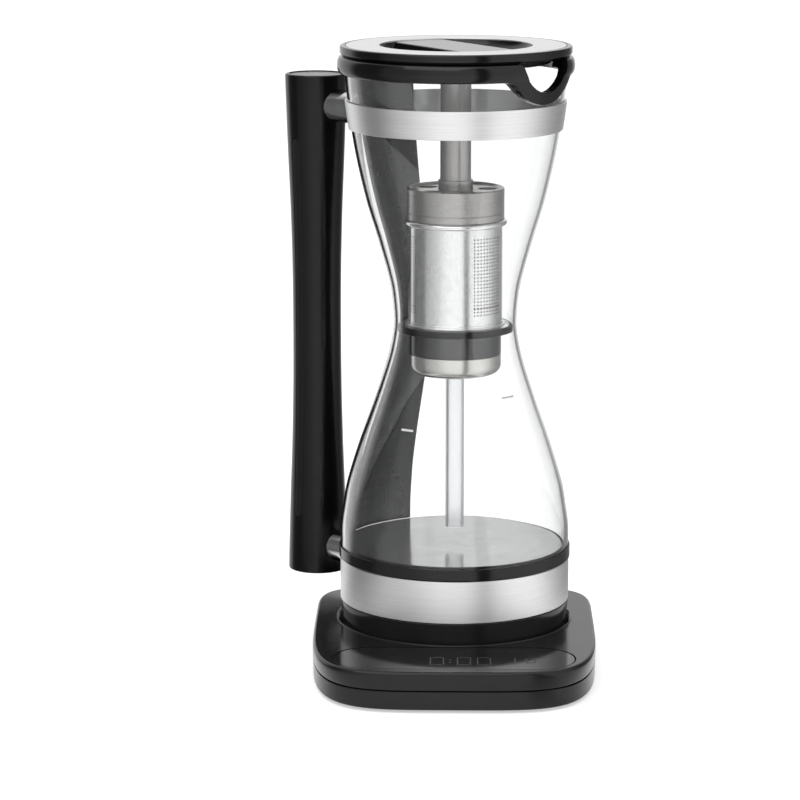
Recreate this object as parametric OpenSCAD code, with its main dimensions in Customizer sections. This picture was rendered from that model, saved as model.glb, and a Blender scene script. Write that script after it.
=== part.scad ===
// Single serve siphon coffee maker: an hourglass glass jug with a side handle on a heating base.
// All pieces are drawn round the jug's upright axis; +Z is up and the front looks along -Y.
// An azimuth is counted from the front (0) towards the right (+90).

/* [Base] */
// Height of the base's top face above the table
base_height = 17; // [15:0.5:24]
// Width of the base's top left and right of the dock
base_side_rim = 10.6; // [8.6:0.1:22]
// Depth of the base's top in front of the dock, under the control window
base_front_rim = 40; // [38.6:0.2:52]
// Width of the base's top behind the dock
base_back_rim = 2.1; // [2.1:0.1:12]
// How square the front corners of the base are
base_front_squareness = 4.8; // [3.8:0.1:5.4]
// How square the back corners of the base are
base_back_squareness = 4.3; // [3.6:0.1:5.4]
// Wall thickness of both base shells
shell_wall = 2.2; // [1.8:0.1:2.6]
// Height of the seam between the base shells
seam_height = 9.2; // [8.6:0.1:10]
// Width of the groove along the seam
seam_gap = 0.4; // [0.2:0.1:0.6]
// Depth of the round dock that the jug stands in
dock_depth = 1; // [0.6:0.1:1.2]
// How far the feet stand out below the base
foot_height = 1.2; // [0.8:0.1:2]
// Radius of a foot
foot_radius = 6; // [4:0.5:8]
// Radius of the lead's hole in the cord gland
gland_bore_radius = 3.3; // [2.8:0.1:3.5]

/* [Control panel] */
// Distance from the base's sides to the control window
panel_side_margin = 9.9; // [9:0.1:14.5]
// Depth of the control window, front to back
panel_depth = 32; // [28:0.5:33]
// Thickness of the control window
panel_thickness = 1.6; // [1.2:0.1:2]
// Distance from the base's front to the control window
panel_margin = 5.8; // [3.5:0.1:6]
// Width of the digit display under the window
display_width = 28; // [24:1:34]
// Depth of the digit display, front to back
display_depth = 18; // [14:1:20]

/* [Jug foot] */
// How far the cup and its steel band stand out from the glass above
band_proud = 0.1; // [0:0.1:0.7]
// How much the cup narrows down to where it stands
cup_taper = 0.7; // [0.6:0.1:2.2]
// Height of the black cup below the steel band
cup_skirt_height = 10; // [8:0.5:12]
// Height of the lower steel band
lower_band_height = 18; // [14:0.5:22]
// Thickness of both steel bands
band_thickness = 0.9; // [0.6:0.1:1.2]
// Wall thickness of the cup behind the band
cup_wall = 2.9; // [2.4:0.1:3.2]
// Height of the black seal ring under the glass
seal_ring_height = 5; // [4:0.5:7]
// Thickness of the heating plate
plate_thickness = 0.8; // [0.6:0.1:1.2]

/* [Glass] */
// Outer radius of the glass at its foot
glass_foot_radius = 48.1; // [47.9:0.1:48.5]
// Outer radius of the glass at its waist
glass_waist_radius = 25.7; // [25.2:0.1:27]
// How much narrower the glass is at its rim than at its foot
rim_taper = 2.3; // [1.9:0.1:2.5]
// Height from the seal ring to the waist
lower_glass_height = 95; // [88:1:104]
// Height from the waist to the glass rim
upper_glass_height = 106.5; // [100:0.5:116]
// Wall thickness of the glass
glass_wall = 1.6; // [1.4:0.1:2]
// Height of the upper steel band
upper_band_height = 11.8; // [9:0.2:14]
// Distance from the upper steel band to the glass rim
upper_band_drop = 14.2; // [13:0.2:18]
// Angle round the glass that the heat shield covers
shield_angle = 46; // [42:1:50]
// Angle by which the heat shield's middle lies behind the handle
shield_turn = 3; // [1:1:6]
// Thickness of the heat shield
shield_thickness = 1.6; // [1.4:0.1:2.2]

/* [Collar and spout] */
// Height of the collar from its lower edge to the lid's seat
collar_height = 7.6; // [6.8:0.1:8.4]
// How far the collar bulges out from the glass rim
collar_bulge = 3.2; // [2.9:0.1:3.9]
// How far the collar reaches in from the glass rim, round the mouth for the lid
collar_lip = 5.4; // [4.8:0.1:5.8]
// Azimuth of the spout loop
spout_azimuth = 52; // [40:1:60]
// Radius of the round window in the spout loop
spout_window_radius = 15.1; // [12:0.1:15.5]
// Drop of the window's lowest point below the lid's seat
spout_window_drop = 12.5; // [10.7:0.1:12.7]
// Width of the spout loop's rim
spout_rim = 5.1; // [4:0.1:5.5]

/* [Handle] */
// Distance of the handle's axis from the jug's axis
handle_distance = 78; // [76:0.5:82]
// Azimuth of the handle
handle_azimuth = -130; // [-135:1:-125]
// Length of the handle
handle_length = 217; // [205:1:219]
// Height of the handle's lower end above the dock
handle_clearance = 9.3; // [8:0.5:14]
// Radius of the handle at its upper end
handle_top_radius = 13.2; // [12:0.1:14]
// Radius of the handle at its waist
handle_waist_radius = 10.4; // [9.6:0.1:11.4]
// Radius of the handle at its lower end
handle_bottom_radius = 12.9; // [12:0.1:14]
// Wall thickness of the handle shell
handle_wall = 2.4; // [2:0.1:2.8]
// Radius of the upper arm
upper_arm_radius = 7; // [6:0.1:7.2]
// Radius of the lower arm
lower_arm_radius = 6.6; // [5.6:0.1:6.6]
// Width of the two inlays let into the handle's sides
inlay_width = 4.4; // [3:0.2:5]
// Length of the two inlays
inlay_length = 165; // [140:5:175]

/* [Basket] */
// Outer radius of the basket's perforated wall
basket_radius = 19.6; // [19.2:0.1:19.8]
// Height of the basket's wall above its seat
basket_height = 41.6; // [38:0.2:44]
// Thickness of the basket's sheet steel
basket_wall_thickness = 0.6; // [0.5:0.05:0.8]
// Radius of the black sleeve and of the bottom cup
sleeve_radius = 19.2; // [18.8:0.1:19.3]
// Height of the black sleeve
sleeve_height = 12.4; // [10:0.2:14]
// Height of the steel cup under the sleeve
bottom_cup_height = 8.8; // [8:0.2:11]
// Outer radius of the siphon tube
siphon_radius = 3.9; // [3.4:0.1:4.2]
// Clearance of the siphon tube's end above the heating plate
siphon_clearance = 6.4; // [5:0.2:10]
// Height of the basket's cap
cap_height = 13; // [10:0.5:15]
// Radius of the basket's cap
cap_radius = 20.3; // [20:0.1:21]
// Number of holes in the cap
cap_hole_count = 5; // [4:1:6]
// Radius of a hole in the cap
cap_hole_radius = 4; // [3:0.1:4.2]
// Radius of the upright stem on the cap
stem_radius = 6.4; // [6:0.1:6.8]

/* [Lid] */
// Height of the lid's rim
lid_height = 4.2; // [3.8:0.1:5.4]
// How far the lid's edge stands back from the collar
lid_inset = 1.1; // [0.8:0.1:1.8]
// Width of the flat rim round the lid's recess
lid_rim_width = 16.2; // [15:0.1:18.5]
// Depth of the recess in the lid
recess_depth = 9.6; // [8:0.2:10]
// Width of the grip bar across the recess
grip_width = 22.8; // [18:0.2:24]
// Drop of the grip bar below the lid's top face
grip_drop = 0.6; // [0.4:0.1:1.5]
// Direction of the grip bar, as an azimuth
grip_azimuth = 32; // [0:1:60]

/* [Hidden] */
$fn = 96;

// Clearances
touch = 0.15;
running = 0.06;
free_gap = 0.3;
over = 1;
slice = 0.05;

// Radii of the jug, out from its glass
cup_radius = glass_foot_radius + band_proud;
foot_ring_radius = cup_radius - cup_taper;
glass_rim_radius = glass_foot_radius - rim_taper;
mouth_radius = glass_rim_radius - collar_lip;
collar_radius = glass_rim_radius + collar_bulge;
lid_radius = collar_radius - lid_inset;

// Reach of the base round its dock
dock_gap = 0.9;
dock_radius = foot_ring_radius + dock_gap;
base_half_width = dock_radius + base_side_rim;
base_front = dock_radius + base_front_rim;
base_back = dock_radius + base_back_rim;
shield_azimuth = handle_azimuth - shield_turn;

// Jug's axis, placed so that the whole object's box is centred on the origin
handle_x = handle_distance * sin(handle_azimuth);
handle_y = -handle_distance * cos(handle_azimuth);
handle_end_radius = max(handle_top_radius, handle_bottom_radius);
axis_x = -(base_half_width + handle_x - handle_end_radius) / 2;
axis_y = -(handle_y + handle_end_radius - base_front) / 2;

// Heights of the base
base_bottom = foot_height;
seam_low = seam_height - seam_gap / 2;
seam_high = seam_height + seam_gap / 2;
base_ceiling = base_height - shell_wall;
dock_floor = base_height - dock_depth;
dock_ceiling = dock_floor - shell_wall;
base_middle = -10;
edge_round = 1.3;
base_steps = 96;
chassis_floor = base_bottom + shell_wall;

// Rounding of the base's lower and upper edges, as [height, inset]
lower_levels = [[base_bottom, 2.6], [base_bottom + 1, 1.1], [base_bottom + 3, 0.3], [seam_low, 0]];
upper_levels = [[seam_high, 0], [base_height - 2.4, 0.1], [base_height - 1.2, 0.35],
    [base_height - 0.4, 0.8], [base_height, edge_round]];

// Screws and bosses
boss_radius = 3.2;
screw_radius = 1.5;
screw_head_radius = 2.8;
screw_head_height = 1.8;
front_boss_margin = 8.5;
front_boss_run = 48.4;
back_boss_margin = 13;
back_boss_run = 23.5;
boss_points = [for (side = [1, -1]) each [
    [side * (base_half_width - front_boss_margin), front_boss_run - base_front],
    [side * (base_half_width - back_boss_margin), base_back - back_boss_run]]];
front_foot_margin = 17.5;
front_foot_run = 18.4;
back_foot_margin = 23.5;
back_foot_run = 16.5;
foot_points = [for (side = [1, -1]) each [
    [side * (base_half_width - front_foot_margin), front_foot_run - base_front],
    [side * (base_half_width - back_foot_margin), base_back - back_foot_run]]];

// Control panel
panel_width = 2 * (base_half_width - panel_side_margin);
panel_front = -base_front + panel_margin;
panel_centre_y = panel_front + panel_depth / 2;
panel_flat = 1;
panel_end_radius = (panel_depth - panel_flat) / 2;
panel_ledge = 2.5;
display_thickness = 2.4;
window_bottom = base_height - panel_thickness - touch;
display_bottom = window_bottom - display_thickness;
board_top = display_bottom;
display_x = 1.5;
touch_x = 23;
touch_pitch = 6.6;
touch_count = 2;
spring_outer_radius = 2.4;
spring_inner_radius = 1.6;
board_inset = 9;
board_margin = 6;
board_thickness = 1.6;
power_board_depth = 50;
power_board_back = 28;
relay_size = [12, 20, 6.4];
relay_gap = 2;
relay_edge = 3;

// Cord gland in the base's back wall
gland_half_width = 5.5;
gland_flange_half_width = 7.5;
gland_roof_gap = 1.4;
gland_floor_gap = 2.6;
gland_top = base_ceiling - gland_roof_gap;
gland_bottom = base_bottom + gland_floor_gap;
gland_z = (gland_top + gland_bottom) / 2;
gland_half_height = (gland_top - gland_bottom) / 2;
gland_proud = 0.8;
gland_flange = 2;
gland_run = 3;
gland_low_y = base_back - shell_wall - gland_run;
gland_high_y = base_back + gland_proud;

// Connector between base and jug
boss_height = 6.5;
plug_radius = 16;
plug_well_radius = 4.4;
plug_groove_inner = 8;
plug_groove_outer = 11.2;
plug_groove_depth = 5;
plug_flange_radius = 21;
plug_flange_height = 2;
socket_gap = 0.8;
socket_reach = 1;
socket_radius = plug_radius + socket_gap;
socket_height = boss_height + socket_reach;
socket_wall = 3.2;
socket_top_height = 5;
contact_thickness = 0.6;
contact_inset = 0.7;
socket_flange = 4;
socket_flange_height = 2;
socket_bore_radius = 2.8;
socket_bore_height = 3;
pin_radius = 1.4;
power_board_width = 2 * (plug_flange_radius + relay_gap + relay_size[0] + relay_edge);

// Heights of the jug's foot
jug_foot = dock_floor;
band_low = jug_foot + cup_skirt_height;
cup_top = band_low + lower_band_height;
seal_top = cup_top + seal_ring_height;
band_seat_radius = cup_radius - band_thickness - touch;
cup_inner_radius = band_seat_radius - cup_wall;
seal_step = 2;
seal_edge = 0.4;
seal_proud = 0.6;
seal_outer_radius = glass_foot_radius + seal_proud;
glass_foot = cup_top + seal_step;
plate_gap = 1.3;
plate_lift = 0.6;
plate_radius = glass_foot_radius - glass_wall - plate_gap;
plate_top = seal_top + plate_lift;
plate_skirt = 0.8;
floor_recess = 0.6;
floor_thickness = 2;
floor_bottom = jug_foot + floor_recess;
floor_top = floor_bottom + floor_thickness;
floor_screw_count = 3;
floor_screw_margin = 3.75;
floor_screw_pitch = cup_inner_radius - floor_screw_margin;
floor_screw_reach = 5;
floor_head_height = 1.1;
floor_boss_height = 6;
spreader_thickness = 3;
spreader_margin = 4;
spreader_radius = plate_radius - spreader_margin;
spreader_bottom = plate_top - plate_thickness - spreader_thickness;
element_margin = 10.2;
element_radius = spreader_radius - element_margin;
element_tube_radius = 3.3;
element_sweep = 300;
element_leg_radius = 2.4;
element_leg_turn = 7;
element_leg_length = 9;
cutoff_radius = 7;
cutoff_height = 7;
cutoff_blade_pitch = 3.5;
cutoff_blade_length = 5;
terminal_width = 6.3;
terminal_thickness = 0.8;
terminal_length = 6;

// Ears of the dock and their notches in the cup
ear_azimuths = [85, -85];
ear_height = 5;
ear_width = 7;
ear_depth = 0.9;
ear_outer_radius = dock_radius + ear_depth;
notch_depth = 1.2;

// Glass, as fractions of each chamber's height and swell
glass_waist = seal_top + lower_glass_height;
glass_rim = glass_waist + upper_glass_height;
lower_swell = [[0, 0], [0.09, 0.044], [0.18, 0.133], [0.36, 0.378], [0.54, 0.644],
    [0.72, 0.871], [0.82, 0.945], [0.91, 0.995], [1, 1]];
upper_swell = [[0, 0], [0.08, 0.027], [0.16, 0.092], [0.32, 0.32], [0.475, 0.563],
    [0.67, 0.793], [0.86, 0.945], [1, 1]];
glass_steps = 40;
band_high = glass_rim - upper_band_drop;
upper_band_low = band_high - upper_band_height;

// Collar and spout loop
collar_rise = 4.3;
lid_seat = glass_rim + collar_rise;
collar_low = lid_seat - collar_height;
collar_web = glass_rim + touch;
spout_window_z = lid_seat - spout_window_drop + spout_window_radius;
spout_outer_radius = 22.4;
spout_outer_z = lid_seat - spout_window_drop - spout_rim + spout_outer_radius;
spout_notch_radius = (spout_window_radius + spout_outer_radius) / 2;
spout_notch_z = (spout_window_z + spout_outer_z) / 2;
spout_relief_share = 0.6;
spout_relief_radius = spout_window_radius
    + (spout_notch_radius - spout_window_radius) * spout_relief_share;
spout_relief_z = spout_window_z + (spout_notch_z - spout_window_z) * spout_relief_share;
spout_relief_reach = sqrt(pow(glass_rim_radius, 2) - pow(spout_relief_radius, 2)) - 0.4;
spout_inner_skin = 0.9;
spout_outer_skin = 1.4;

// Handle
handle_low = dock_floor + handle_clearance;
handle_high = handle_low + handle_length;
handle_middle = handle_low + handle_length / 2;
handle_swell = [[0, 0], [0.23, 0.055], [0.46, 0.27], [0.7, 0.64], [0.85, 0.84], [1, 1]];
handle_steps = 16;
handle_edge = 0.7;
cap_thickness = 2.2;
cap_recess = 0.4;
cap_ledge = 0.8;
core_radius = 4.2;
arm_thread = 6;
upper_arm_z = upper_band_low + upper_band_height * 0.4;
lower_arm_z = band_low + lower_band_height * 0.6;
spigot_radius = 3;
arm_sink = 2;
arm_cut = 12;
arm_cavity = 0.6;
arm_flare = 0.5;
arm_flare_length = 4;
inlay_depth = 0.7;
inlay_swing = 85;
inlay_drop = 1.3;
inlay_centre_z = handle_middle - inlay_drop;

// Basket and its seat at the waist
hoop_height = 2.9;
hoop_drop = 0.8;
hoop_top = glass_waist - hoop_drop;
hoop_low = hoop_top - hoop_height;
hoop_outer_radius = glass_waist_radius - glass_wall - touch;
hoop_width = 1.3;
web_thickness = 2;
basket_seat = hoop_top;
basket_ledge = 1.2;
ledge_width = 1;
ledge_radius = basket_radius + ledge_width;
web_inner_radius = sleeve_radius + free_gap;
basket_top = basket_seat + basket_height;
basket_bead = 1.25;
bead_out = 0.7;
sleeve_wall = 1.6;
neck_radius = sleeve_radius - sleeve_wall;
sleeve_low = basket_seat - sleeve_height;
cup_low = sleeve_low - bottom_cup_height;
cup_floor_thickness = 1.2;
cup_sheet = 1;
cup_corner = 5.5;
neck_low = cup_low + cup_floor_thickness + cup_corner - cup_sheet + touch;
siphon_wall = 1;
siphon_low = plate_top + siphon_clearance;
siphon_entry = 4;
bush_wall = 1.7;
siphon_top = cup_low + siphon_entry;
bush_radius = siphon_radius + bush_wall;
bush_lip = 1;
bush_groove = 1;
filter_thickness = 0.5;
cap_gap = 0.1;
cap_low = basket_top + basket_bead * 2 + cap_gap;
cap_top = cap_low + cap_height;
cap_sheet = 1.2;
cap_edge = 0.8;
cap_plug_height = 3;
cap_plug_radius = basket_radius - basket_wall_thickness - free_gap;
cap_plug_sheet = 0.9;
cap_hole_pitch = 13.4;
cap_hole_start = 24;
cap_groove_lift = 2.6;
cap_groove_z = cap_low + cap_groove_lift;
cap_groove = 0.4;
stem_wall = 0.8;
stem_ring_height = 4.8;
stem_ring_wall = 0.8;
stem_screw_head = 2;
stem_plug_height = 10;
stem_bore = 2.1;

// Lid
lid_top = lid_seat + lid_height;
recess_radius = lid_radius - lid_rim_width;
lid_sheet = 1.5;
lid_seal_width = 1.44;
lip_gap = 0.9;
lip_height = 0.7;
plug_skirt_radius = mouth_radius - free_gap - lid_seal_width - running;
plug_skirt_wall = 1.4;
plug_depth = 2.7;
plug_low = lid_seat - plug_depth;
seal_low = plug_low + lip_height;
seal_drop = 0.4;
seal_high = lid_seat - seal_drop;
lip_radius = mouth_radius - lip_gap;
plate_rim = 2.2;
plate_depth = 0.6;
recess_floor = lid_top - recess_depth;
bowl_steps = 16;
lid_edge = 0.8;
lid_undercut = 1.2;
lid_roof = 0.8;
grip_skin = 0.8;
grip_top = lid_top - grip_drop;
grip_side_gap = touch;
grip_end_gap = 0.6;
stem_top = recess_floor - lid_sheet - free_gap;

// Smooth curve through stations of [t, value], level at both ends
function station(s, t, i = 0) = (i == len(s) - 2 || t <= s[i + 1][0]) ? i : station(s, t, i + 1);
function slope(s, i) = (i == 0 || i == len(s) - 1) ? 0
    : (s[i + 1][1] - s[i - 1][1]) / (s[i + 1][0] - s[i - 1][0]);
function blend(a, b, m, n, u) = a + u * (m + u * (3 * (b - a) - 2 * m - n + u * (m + n - 2 * (b - a))));
function curve(s, t) = let (i = station(s, t), h = s[i + 1][0] - s[i][0])
    blend(s[i][1], s[i + 1][1], slope(s, i) * h, slope(s, i + 1) * h, (t - s[i][0]) / h);

// Outer radius of the glass at height z
function glass_radius(z) = z < glass_waist
    ? glass_waist_radius + (glass_foot_radius - glass_waist_radius)
        * curve(lower_swell, min(1, (glass_waist - z) / lower_glass_height))
    : glass_waist_radius + (glass_rim_radius - glass_waist_radius)
        * curve(upper_swell, min(1, (z - glass_waist) / upper_glass_height));

// Outer radius of the handle at height z
function handle_radius(z) = z > handle_middle
    ? handle_waist_radius + (handle_top_radius - handle_waist_radius)
        * curve(handle_swell, (z - handle_middle) / (handle_high - handle_middle))
    : handle_waist_radius + (handle_bottom_radius - handle_waist_radius)
        * curve(handle_swell, (handle_middle - z) / (handle_middle - handle_low));

// Points [radius, z] along the glass, moved outwards by grow, from z0 to z1
function glass_line(z0, z1, grow, n = glass_steps) =
    [for (i = [0:n]) let (z = z0 + (z1 - z0) * i / n) [glass_radius(z) + grow, z]];

// Points [radius, z] down the lid's dished recess, moved outwards by grow, out to an angle
function bowl(grow, end) = [for (i = [0:bowl_steps]) let (a = end * i / bowl_steps)
    [(recess_radius + grow) * sin(a), lid_top - (recess_depth + grow) * cos(a)]];

function backwards(p) = [for (i = [len(p) - 1:-1:0]) p[i]];

// Squarish oval of the base, drawn in by inset
function base_point(t, inset) = let (
    c = cos(t),
    s = sin(t),
    square = s < 0 ? base_front_squareness : base_back_squareness,
    reach = s < 0 ? base_front - base_middle : base_back + base_middle)
    [(base_half_width - inset) * sign(c) * pow(abs(c), 2 / square),
        (reach - inset) * sign(s) * pow(abs(s), 2 / square) - base_middle];

module on_axis() {
    translate([axis_x, axis_y, 0]) children();
}

module toward(azimuth) {
    rotate([0, 0, azimuth]) children();
}

module ring(outer, inner, low, high) {
    translate([0, 0, low]) difference() {
        cylinder(r = outer, h = high - low);
        translate([0, 0, -over]) cylinder(r = inner, h = high - low + 2 * over);
    }
}

module disc(radius, low, high) {
    translate([0, 0, low]) cylinder(r = radius, h = high - low);
}

module spun(points) {
    rotate_extrude() polygon(points);
}

module sector(points, azimuth, angle) {
    rotate([0, 0, azimuth - 90 - angle / 2]) rotate_extrude(angle = angle) polygon(points);
}

// Rod that points out along an azimuth, from radius r0 to r1 at height z
module rod(azimuth, z, radius, r0, r1) {
    toward(azimuth) translate([0, -r0, z]) rotate([90, 0, 0]) cylinder(r = radius, h = r1 - r0);
}

module base_plan(inset) {
    polygon([for (i = [0:base_steps - 1]) base_point(360 * i / base_steps, inset)]);
}

// Solid between levels of [z, inset]
module base_form(levels) {
    hull() for (level = levels)
        translate([0, 0, min(level[0], levels[len(levels) - 1][0] - slice)])
            linear_extrude(slice) base_plan(level[1]);
}

module base_hollow(low, high) {
    translate([0, 0, low]) linear_extrude(high - low) base_plan(shell_wall);
}

module stadium(width, depth, radius) {
    square([width - 2 * radius, depth], center = true);
    square([width, depth - 2 * radius], center = true);
    for (x = [-1, 1], y = [-1, 1])
        translate([x * (width / 2 - radius), y * (depth / 2 - radius)]) circle(r = radius);
}

module floor_screw_places() {
    for (i = [0:floor_screw_count - 1]) toward(60 + 360 * i / floor_screw_count)
        translate([0, -floor_screw_pitch, 0]) children();
}

module panel_form(low, high, inset) {
    translate([0, panel_centre_y, low]) linear_extrude(high - low)
        stadium(panel_width - 2 * inset, panel_depth - 2 * inset, panel_end_radius - inset);
}

module gland_block(half_width, low_y, high_y, grow) {
    translate([-half_width - grow, low_y, gland_z - gland_half_height - grow])
        cube([2 * (half_width + grow), high_y - low_y, 2 * (gland_half_height + grow)]);
}

module gland_hole() {
    gland_block(gland_half_width, gland_low_y - over, gland_high_y + over, touch);
}

module ear_form(grow, height) {
    for (azimuth = ear_azimuths) toward(azimuth)
        translate([-ear_width / 2 - grow, -ear_outer_radius, dock_floor])
            cube([ear_width + 2 * grow, ear_outer_radius - foot_ring_radius + notch_depth + grow, height + grow]);
}

// Lower shell of the base: floor, wall and screw bosses
module base_lower_shell() {
    color("#141414") on_axis() difference() {
        union() {
            difference() {
                base_form(lower_levels);
                base_hollow(chassis_floor, base_height);
            }
            for (p = boss_points) translate([p[0], p[1], 0]) disc(boss_radius, chassis_floor - slice, seam_low);
        }
        for (p = boss_points) translate([p[0], p[1], 0]) {
            disc(screw_radius + touch, -over, base_height);
            disc(screw_head_radius + touch, -over, base_bottom + screw_head_height + touch);
        }
        gland_hole();
    }
}

// Upper shell of the base: dock, ears, window ledge and connector hole
module base_upper_shell() {
    color("#101010") on_axis() difference() {
        union() {
            difference() {
                base_form(upper_levels);
                difference() {
                    base_hollow(seam_high - over, base_ceiling);
                    disc(dock_radius + shell_wall, dock_ceiling, base_height);
                    panel_form(base_height - panel_thickness - shell_wall, base_height, -shell_wall);
                }
                disc(dock_radius, dock_floor, base_height + over);
            }
            for (p = boss_points) translate([p[0], p[1], 0]) disc(boss_radius, seam_high, base_ceiling + slice);
            intersection() {
                ear_form(0, ear_height);
                ring(ear_outer_radius, foot_ring_radius - notch_depth, dock_floor - slice,
                    dock_floor + ear_height + over);
            }
        }
        for (p = boss_points) translate([p[0], p[1], 0]) disc(screw_radius - touch, -over, base_ceiling - touch);
        disc(plug_radius + touch, -over, base_height);
        panel_form(base_height - panel_thickness - touch, base_height + over, -touch);
        panel_form(-over, base_height, panel_ledge);
        gland_hole();
    }
}

// Dark window over the display and the touch keys
module control_window() {
    color("#080808") on_axis() panel_form(base_height - panel_thickness - touch, base_height - touch, 0);
}

// Digit display, lying against the window
module display_module() {
    color("#2b2b2b") on_axis() translate([display_x - display_width / 2, panel_centre_y - display_depth / 2,
        display_bottom]) cube([display_width, display_depth, display_thickness]);
}

// Sensor collars between the board and the window, one under each touch key
module touch_springs() {
    color("#b08d57") on_axis() for (i = [0:touch_count - 1])
        translate([display_x + touch_x + i * touch_pitch, panel_centre_y, 0])
            ring(spring_outer_radius, spring_inner_radius, display_bottom, window_bottom);
}

// Control board under the display
module control_board() {
    color("#1f5a33") on_axis() translate([board_inset - panel_width / 2,
        panel_centre_y - panel_depth / 2 + board_margin, board_top - board_thickness])
        cube([panel_width - 2 * board_inset, panel_depth - 2 * board_margin, board_thickness]);
}

// Board that switches the heater
module power_board() {
    color("#2a6a3d") on_axis() translate([-power_board_width / 2, power_board_back - power_board_depth,
        chassis_floor]) cube([power_board_width, power_board_depth, board_thickness]);
}

// Relay on the power board
module power_relay() {
    color("#22303f") on_axis() translate([plug_flange_radius + relay_gap, -relay_size[1] / 2,
        chassis_floor + board_thickness]) cube(relay_size);
}

// Raised plug that carries current into the jug
module base_connector() {
    color("#1a1a1a") on_axis() difference() {
        union() {
            disc(plug_flange_radius, dock_ceiling - plug_flange_height, dock_ceiling);
            disc(plug_radius, dock_ceiling - plug_flange_height, dock_floor + boss_height);
        }
        disc(plug_well_radius, dock_floor, dock_floor + boss_height + over);
        ring(plug_groove_outer, plug_groove_inner, dock_floor + boss_height - plug_groove_depth,
            dock_floor + boss_height + over);
    }
}

// Pin and ring contacts of the plug
module base_contacts() {
    color("#c9a24b") on_axis() {
        disc(pin_radius, dock_floor, dock_floor + boss_height - over);
        ring(plug_groove_inner + contact_thickness, plug_groove_inner,
            dock_floor + boss_height - plug_groove_depth, dock_floor + boss_height - over);
    }
}

// Soft feet
module base_feet() {
    color("#333333") on_axis() for (p = foot_points) translate([p[0], p[1], 0])
        disc(foot_radius, 0, base_bottom);
}

// Screws that hold the two base shells together
module base_screws() {
    color("#8a8a8a") on_axis() for (p = boss_points) translate([p[0], p[1], 0]) {
        disc(screw_head_radius, base_bottom, base_bottom + screw_head_height);
        disc(screw_radius - touch * 2, base_bottom, base_ceiling - over);
    }
}

// Grommet in the back wall that the lead goes through
module cord_gland() {
    flange_y = base_back - shell_wall - touch;
    color("#222222") on_axis() difference() {
        union() {
            gland_block(gland_half_width, gland_low_y, gland_high_y, 0);
            gland_block(gland_flange_half_width, flange_y - gland_flange, flange_y, 0);
        }
        translate([0, gland_high_y + over, gland_z]) rotate([90, 0, 0])
            cylinder(r = gland_bore_radius, h = gland_high_y - gland_low_y + 2 * over);
    }
}

// Black cup that holds the heater and carries the glass
module jug_cup() {
    color("#131313") on_axis() difference() {
        union() {
            cup_wall_form();
            intersection() {
                floor_screw_places() {
                    disc(boss_radius, floor_top, floor_top + floor_boss_height);
                    translate([-boss_radius, -boss_radius * 2, floor_top])
                        cube([2 * boss_radius, 2 * boss_radius, floor_boss_height]);
                }
                disc(cup_inner_radius + over, floor_top, floor_top + floor_boss_height);
            }
        }
        floor_screw_places() disc(screw_radius + touch, 0, floor_top + floor_screw_reach + touch);
        ear_form(free_gap, ear_height + free_gap);
        rod(handle_azimuth, lower_arm_z, spigot_radius + touch, 0, cup_radius + over);
    }
}

module cup_wall_form() {
    spun([[cup_inner_radius, jug_foot], [foot_ring_radius - 0.6, jug_foot], [foot_ring_radius, jug_foot + 0.6],
        [cup_radius, band_low], [band_seat_radius, band_low], [band_seat_radius, cup_top],
        [cup_inner_radius, cup_top]]);
}

// Floor that closes the cup from below
module jug_floor() {
    color("#1c1c1c") on_axis() difference() {
        ring(cup_inner_radius - touch, socket_radius + socket_wall + touch, floor_bottom, floor_top);
        floor_screw_places() {
            disc(screw_radius + touch, 0, floor_top + over);
            disc(screw_head_radius + touch, 0, floor_bottom + floor_head_height);
        }
    }
}

// Screws in the jug's floor
module floor_screws() {
    color("#8a8a8a") on_axis() floor_screw_places() {
        disc(screw_head_radius, floor_bottom + touch, floor_bottom + floor_head_height);
        disc(screw_radius, floor_bottom + touch, floor_top + floor_screw_reach);
    }
}

// Socket in the jug's floor that drops over the plug
module jug_connector() {
    color("#1a1a1a") on_axis() difference() {
        union() {
            disc(socket_radius + socket_wall, floor_bottom, dock_floor + socket_height + socket_top_height);
            disc(socket_radius + socket_wall + socket_flange, floor_top, floor_top + socket_flange_height);
        }
        disc(socket_radius, 0, dock_floor + socket_height);
        disc(socket_bore_radius, 0, dock_floor + socket_height + socket_bore_height);
    }
}

// Tube and ring contacts that hang from the socket's roof
module jug_contacts() {
    color("#c9a24b") on_axis() {
        ring(plug_well_radius - contact_inset, plug_well_radius - contact_inset - contact_thickness,
            dock_floor + 2 * over, dock_floor + socket_height);
        ring(plug_groove_outer - contact_inset, plug_groove_outer - contact_inset - contact_thickness,
            dock_floor + boss_height - plug_groove_depth + over, dock_floor + socket_height);
    }
}

// Sheathed heating tube under the spreader
module heating_element() {
    color("#9a9a9a") on_axis() {
        translate([0, 0, spreader_bottom - element_tube_radius]) toward(-120)
            rotate_extrude(angle = element_sweep) translate([element_radius, 0]) circle(r = element_tube_radius);
        for (turn = [element_leg_turn, element_sweep - element_leg_turn])
            toward(turn - 120) translate([element_radius, 0, 0]) {
                disc(element_leg_radius, spreader_bottom - element_tube_radius - element_leg_length,
                    spreader_bottom - element_tube_radius);
                translate([-terminal_width / 2, -terminal_thickness / 2,
                    spreader_bottom - element_tube_radius - element_leg_length - terminal_length])
                    cube([terminal_width, terminal_thickness, terminal_length]);
            }
    }
}

// Aluminium disc that spreads the heat
module heat_spreader() {
    color("#c4c6c8") on_axis() disc(spreader_radius, spreader_bottom, spreader_bottom + spreader_thickness);
}

// Boil-dry cutoff against the spreader
module thermal_cutoff() {
    color("#d8d2c4") on_axis() {
        disc(cutoff_radius, spreader_bottom - cutoff_height, spreader_bottom);
        for (x = [-1, 1]) translate([x * cutoff_blade_pitch - terminal_thickness / 2, -terminal_width / 2,
            spreader_bottom - cutoff_height - cutoff_blade_length])
            cube([terminal_thickness, terminal_width, cutoff_blade_length]);
    }
}

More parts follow.
